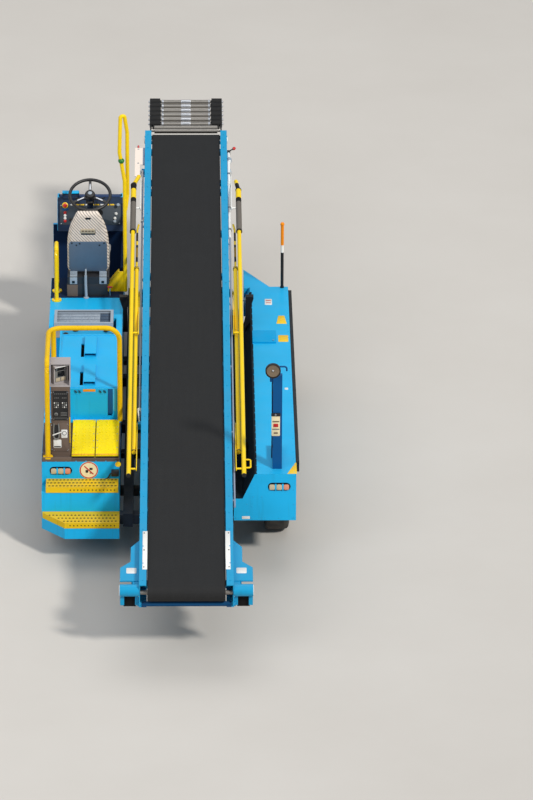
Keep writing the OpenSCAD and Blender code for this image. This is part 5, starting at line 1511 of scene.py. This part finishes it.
class BELTLOADER_OT_treads(bpy.types.Operator):
    """Liners painted as the shade under the punched treads and behind the plates' lips, the treads' teeth, and
    the slots and lips of the platform's plates
    """
    bl_idname = "beltloader.treads"
    bl_label = "Treads"

    def execute(self, context):
        m = Maker("tread_liners")
        # Painted shade: black sheets under the punched treads and behind their lips.
        m.block((-996, -1965, 585), (-414, -1805, 588.7), "shade_liner_black", 0.5)
        lower = [(-1025.7, -1970.3), (-1025.7, -1987), (-843, -2180.7), (-404.3, -2180.7), (-404.3, -1970.3)]
        m.prism(lower, 3.6, moved(0, 0, 367), "shade_liner_black", 0.5)
        m.block((-812, -1965.7, 555), (-420, -1962, 584), "shade_liner_black", 0.5)
        m.block((-812, -2180.7, 336), (-420, -2177, 366), "shade_liner_black", 0.5)
        m.done("chassis")
        self.make_teeth()
        self.make_slots()
        return {"FINISHED"}

    def make_teeth(self):
        pitch, row_pitch, teeth = 30, 56, []
        for row in range(3):
            shift = 0 if row % 2 else pitch / 2
            teeth += [((x + shift, -1938 + row_pitch * row, 593.2), UP) for x in range(-985, -424, pitch)]
            y = -2148 + row_pitch * row
            edge = -1016 + 190 * min(1.0, (-y - 1990) / 200)
            teeth += [((x + shift, y, 375.2), UP) for x in range(-1015, -424, pitch) if x + shift > edge]
        scatter("tread_teeth", teeth, CHASSIS, heads_tree(), 0.0088, 0.0028, 8, "tooth_steel", "chassis")

    def make_slots(self):
        tree = slots_tree()
        for side, x in (("left", -697), ("right", -503)):
            obj = grow(f"plate_slots_{side}", bpy.data.meshes.new("slots"), tree, Columns=3, Rows=10,
                       Width=0.116, Length=0.60, Radius=0.0085, Height=0.0035, Stretch=2.0,
                       Material=MATERIALS["plate_yellow"])
            obj.data.transform(CHASSIS @ Matrix.Translation(Vector((x, -1432, PLATE_TOP)) * MM))
            shade_by_angle(obj.data)
            ride(obj, "chassis")
        e = Maker("plate_edges")
        for x0, x1 in ((-788, -606), (-594, -412)):
            e.block((x0, -1774, PLATE_TOP), (x1, -1752, PLATE_TOP + 3), "lip_orange", 1.2)
            # Painted shade: a black strip under each plate's lip.
            e.block((x0, -1779, 772), (x1, -1775.3, 783), "shade_liner_black", 1)
        e.done("chassis")


class BELTLOADER_OT_wheels(bpy.types.Operator):
    """Tread blocks, nuts and hub caps of the four wheels"""
    bl_idname = "beltloader.wheels"
    bl_label = "Wheels"

    def execute(self, context):
        sizes = context.scene.belt_loader_sizes
        tree = tread_tree()
        for corner in CORNERS:
            lo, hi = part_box(f"tyre_{corner}")
            self.make_tread(corner, (lo + hi) / 2, (hi.z - lo.z) / 2, sizes, tree)
            self.make_hub(corner, (lo + hi) / 2)
        return {"FINISHED"}

    def make_tread(self, corner, middle, radius, sizes, tree):
        bm = bmesh.new()
        block = (sizes.lug_height, 0.030, 0.036)
        # Each row's offset from the middle, turn in blocks, slant and how far it lies below the tread
        for offset, turn, slant, low in ((-0.062, 0, -0.35, 0.0068), (-0.021, 0.5, 0.35, 0.0008),
                                         (0.021, 0, -0.35, 0.0008), (0.062, 0.5, 0.35, 0.0068)):
            row = grow("row", bpy.data.meshes.new("row"), tree, Count=sizes.lug_count, Block=block,
                       Radius=radius - sizes.lug_height * 0.5 - low, Offset=offset, Slant=slant,
                       Turn=turn * 2 * math.pi / sizes.lug_count, Material=MATERIALS["tyre_rubber"])
            bm.from_mesh(row.data)
            bpy.data.objects.remove(row)
        bm.transform(Matrix.Translation(middle) @ turned(90, "Y"))
        tread = bpy.data.meshes.new(f"tread_{corner}")
        bm.to_mesh(tread)
        bm.free()
        tread.materials.append(MATERIALS["tyre_rubber"])
        ride(add_object(f"tread_{corner}", tread), f"wheel_{corner}")

    def make_hub(self, corner, middle):
        hub = Maker(f"hub_{corner}", Matrix.Translation(middle))
        side = -1 if middle.x < 0 else 1
        nut = [(0, 0), (13, 0), (13, 12), (11, 14), (8, 14), (8, 22), (6, 24), (0, 24)]
        for k in range(8):
            a = 2 * math.pi * (k + 0.5) / 8
            hub.lathe(nut, facing((side * 22, 95 * math.cos(a), 95 * math.sin(a)), (side, 0, 0)), "zinc", 6)
        cap = [(0, 0), (62, 0), (62, 20), (56, 30), (38, 34), (0, 36)]
        hub.lathe(cap, facing((side * 50, 0, 0), (side, 0, 0)), "frame_black", 32)
        hub.done(f"wheel_{corner}")


# Stage

class BELTLOADER_OT_stage(bpy.types.Operator):
    """Pale floor, soft light and the camera"""
    bl_idname = "beltloader.stage"
    bl_label = "Stage"

    def execute(self, context):
        stage = context.scene.belt_loader_stage
        self.make_floor()
        self.make_camera(stage)
        self.make_lights(stage)
        return {"FINISHED"}

    def make_floor(self):
        bm = bmesh.new()
        bmesh.ops.create_grid(bm, x_segments=1, y_segments=1, size=60)
        mesh = bpy.data.meshes.new("floor")
        bm.to_mesh(mesh)
        bm.free()
        t, surface, where = start_material("floor_pale")
        pale = mix(t, noise(t, where, 0.6, 5.0, 0.6), rgb(196, 191, 184), rgb(206, 202, 196))
        feed(t, surface, {"Base Color": pale, "Roughness": 0.85})
        mesh.materials.append(MATERIALS["floor_pale"])
        add_object("floor", mesh)

    def make_camera(self, stage):
        camera = bpy.data.cameras.new("camera")
        camera.sensor_width, camera.sensor_fit = 36, "AUTO"
        camera.lens = stage.lens
        camera.clip_start, camera.clip_end = 0.5, 300
        view = add_object("camera", camera)
        turn = Euler((math.pi / 2 - stage.pitch, 0, -stage.yaw)).to_matrix()
        turn = turn @ Matrix.Rotation(stage.roll, 3, "Z")
        view.matrix_world = Matrix.Translation(SHIFT + Vector(stage.place)) @ turn.to_4x4()
        bpy.context.scene.camera = view

    def make_lights(self, stage):
        sun = bpy.data.lights.new("sun", "SUN")
        sun.energy, sun.angle, sun.color = stage.sun, math.radians(7), (1.0, 0.965, 0.91)
        add_object("sun", sun).matrix_world = facing((6, -7, 9), (0.5, -0.57, 0.65), FORWARD)
        for name, at, size, power, colour in (
                ("fill", (-10, -12, 12), 12, 900, (0.95, 0.97, 1.0)), ("top", (0, 4, 16), 14, 700, (1, 1, 1))):
            data = bpy.data.lights.new(name, "AREA")
            data.shape, data.size, data.energy, data.color = "DISK", size, power, colour
            add_object(name, data).matrix_world = facing(at, Vector(at) - Vector((0, 0, 0.5)), FORWARD)
        world = bpy.data.worlds.new("studio")
        world.use_nodes = True
        sky = world.node_tree.nodes["Background"].inputs
        sky[0].default_value = (0.80, 0.85, 0.92, 1)
        sky[1].default_value = stage.sky
        bpy.context.scene.world = world
        bpy.context.scene.view_settings.view_transform = "Standard"


# Panel and start

OPERATORS = (
    BELTLOADER_OT_finishes, BELTLOADER_OT_dash, BELTLOADER_OT_steering, BELTLOADER_OT_seat,
    BELTLOADER_OT_console, BELTLOADER_OT_left_trim, BELTLOADER_OT_right_trim, BELTLOADER_OT_lamps,
    BELTLOADER_OT_conveyor, BELTLOADER_OT_rollers, BELTLOADER_OT_handrails, BELTLOADER_OT_fasteners, BELTLOADER_OT_treads,
    BELTLOADER_OT_wheels, BELTLOADER_OT_stage,
)


class BELTLOADER_PT_panel(bpy.types.Panel):
    """Lists the loader's groups of pieces"""
    bl_label = "Belt Loader"
    bl_idname = "BELTLOADER_PT_panel"
    bl_space_type = "VIEW_3D"
    bl_region_type = "UI"
    bl_category = "Belt Loader"

    def draw(self, context):
        scene = context.scene
        for settings in (scene.belt_loader_look, scene.belt_loader_sizes, scene.belt_loader_stage):
            for prop in settings.__annotations__:
                self.layout.prop(settings, prop)
        for cls in OPERATORS:
            self.layout.operator(cls.bl_idname)


CLASSES = (BeltLoaderLook, BeltLoaderSizes, BeltLoaderStage, *OPERATORS, BELTLOADER_PT_panel)


def register():
    for cls in CLASSES:
        bpy.utils.register_class(cls)
    bpy.types.Scene.belt_loader_look = PointerProperty(type=BeltLoaderLook)
    bpy.types.Scene.belt_loader_sizes = PointerProperty(type=BeltLoaderSizes)
    bpy.types.Scene.belt_loader_stage = PointerProperty(type=BeltLoaderStage)


def unregister():
    del bpy.types.Scene.belt_loader_look
    del bpy.types.Scene.belt_loader_sizes
    del bpy.types.Scene.belt_loader_stage
    for cls in reversed(CLASSES):
        bpy.utils.unregister_class(cls)


def main():
    register()
    for cls in OPERATORS:
        group_name, call = cls.bl_idname.split(".")
        getattr(getattr(bpy.ops, group_name), call)()


if __name__ == "__main__":
    main()
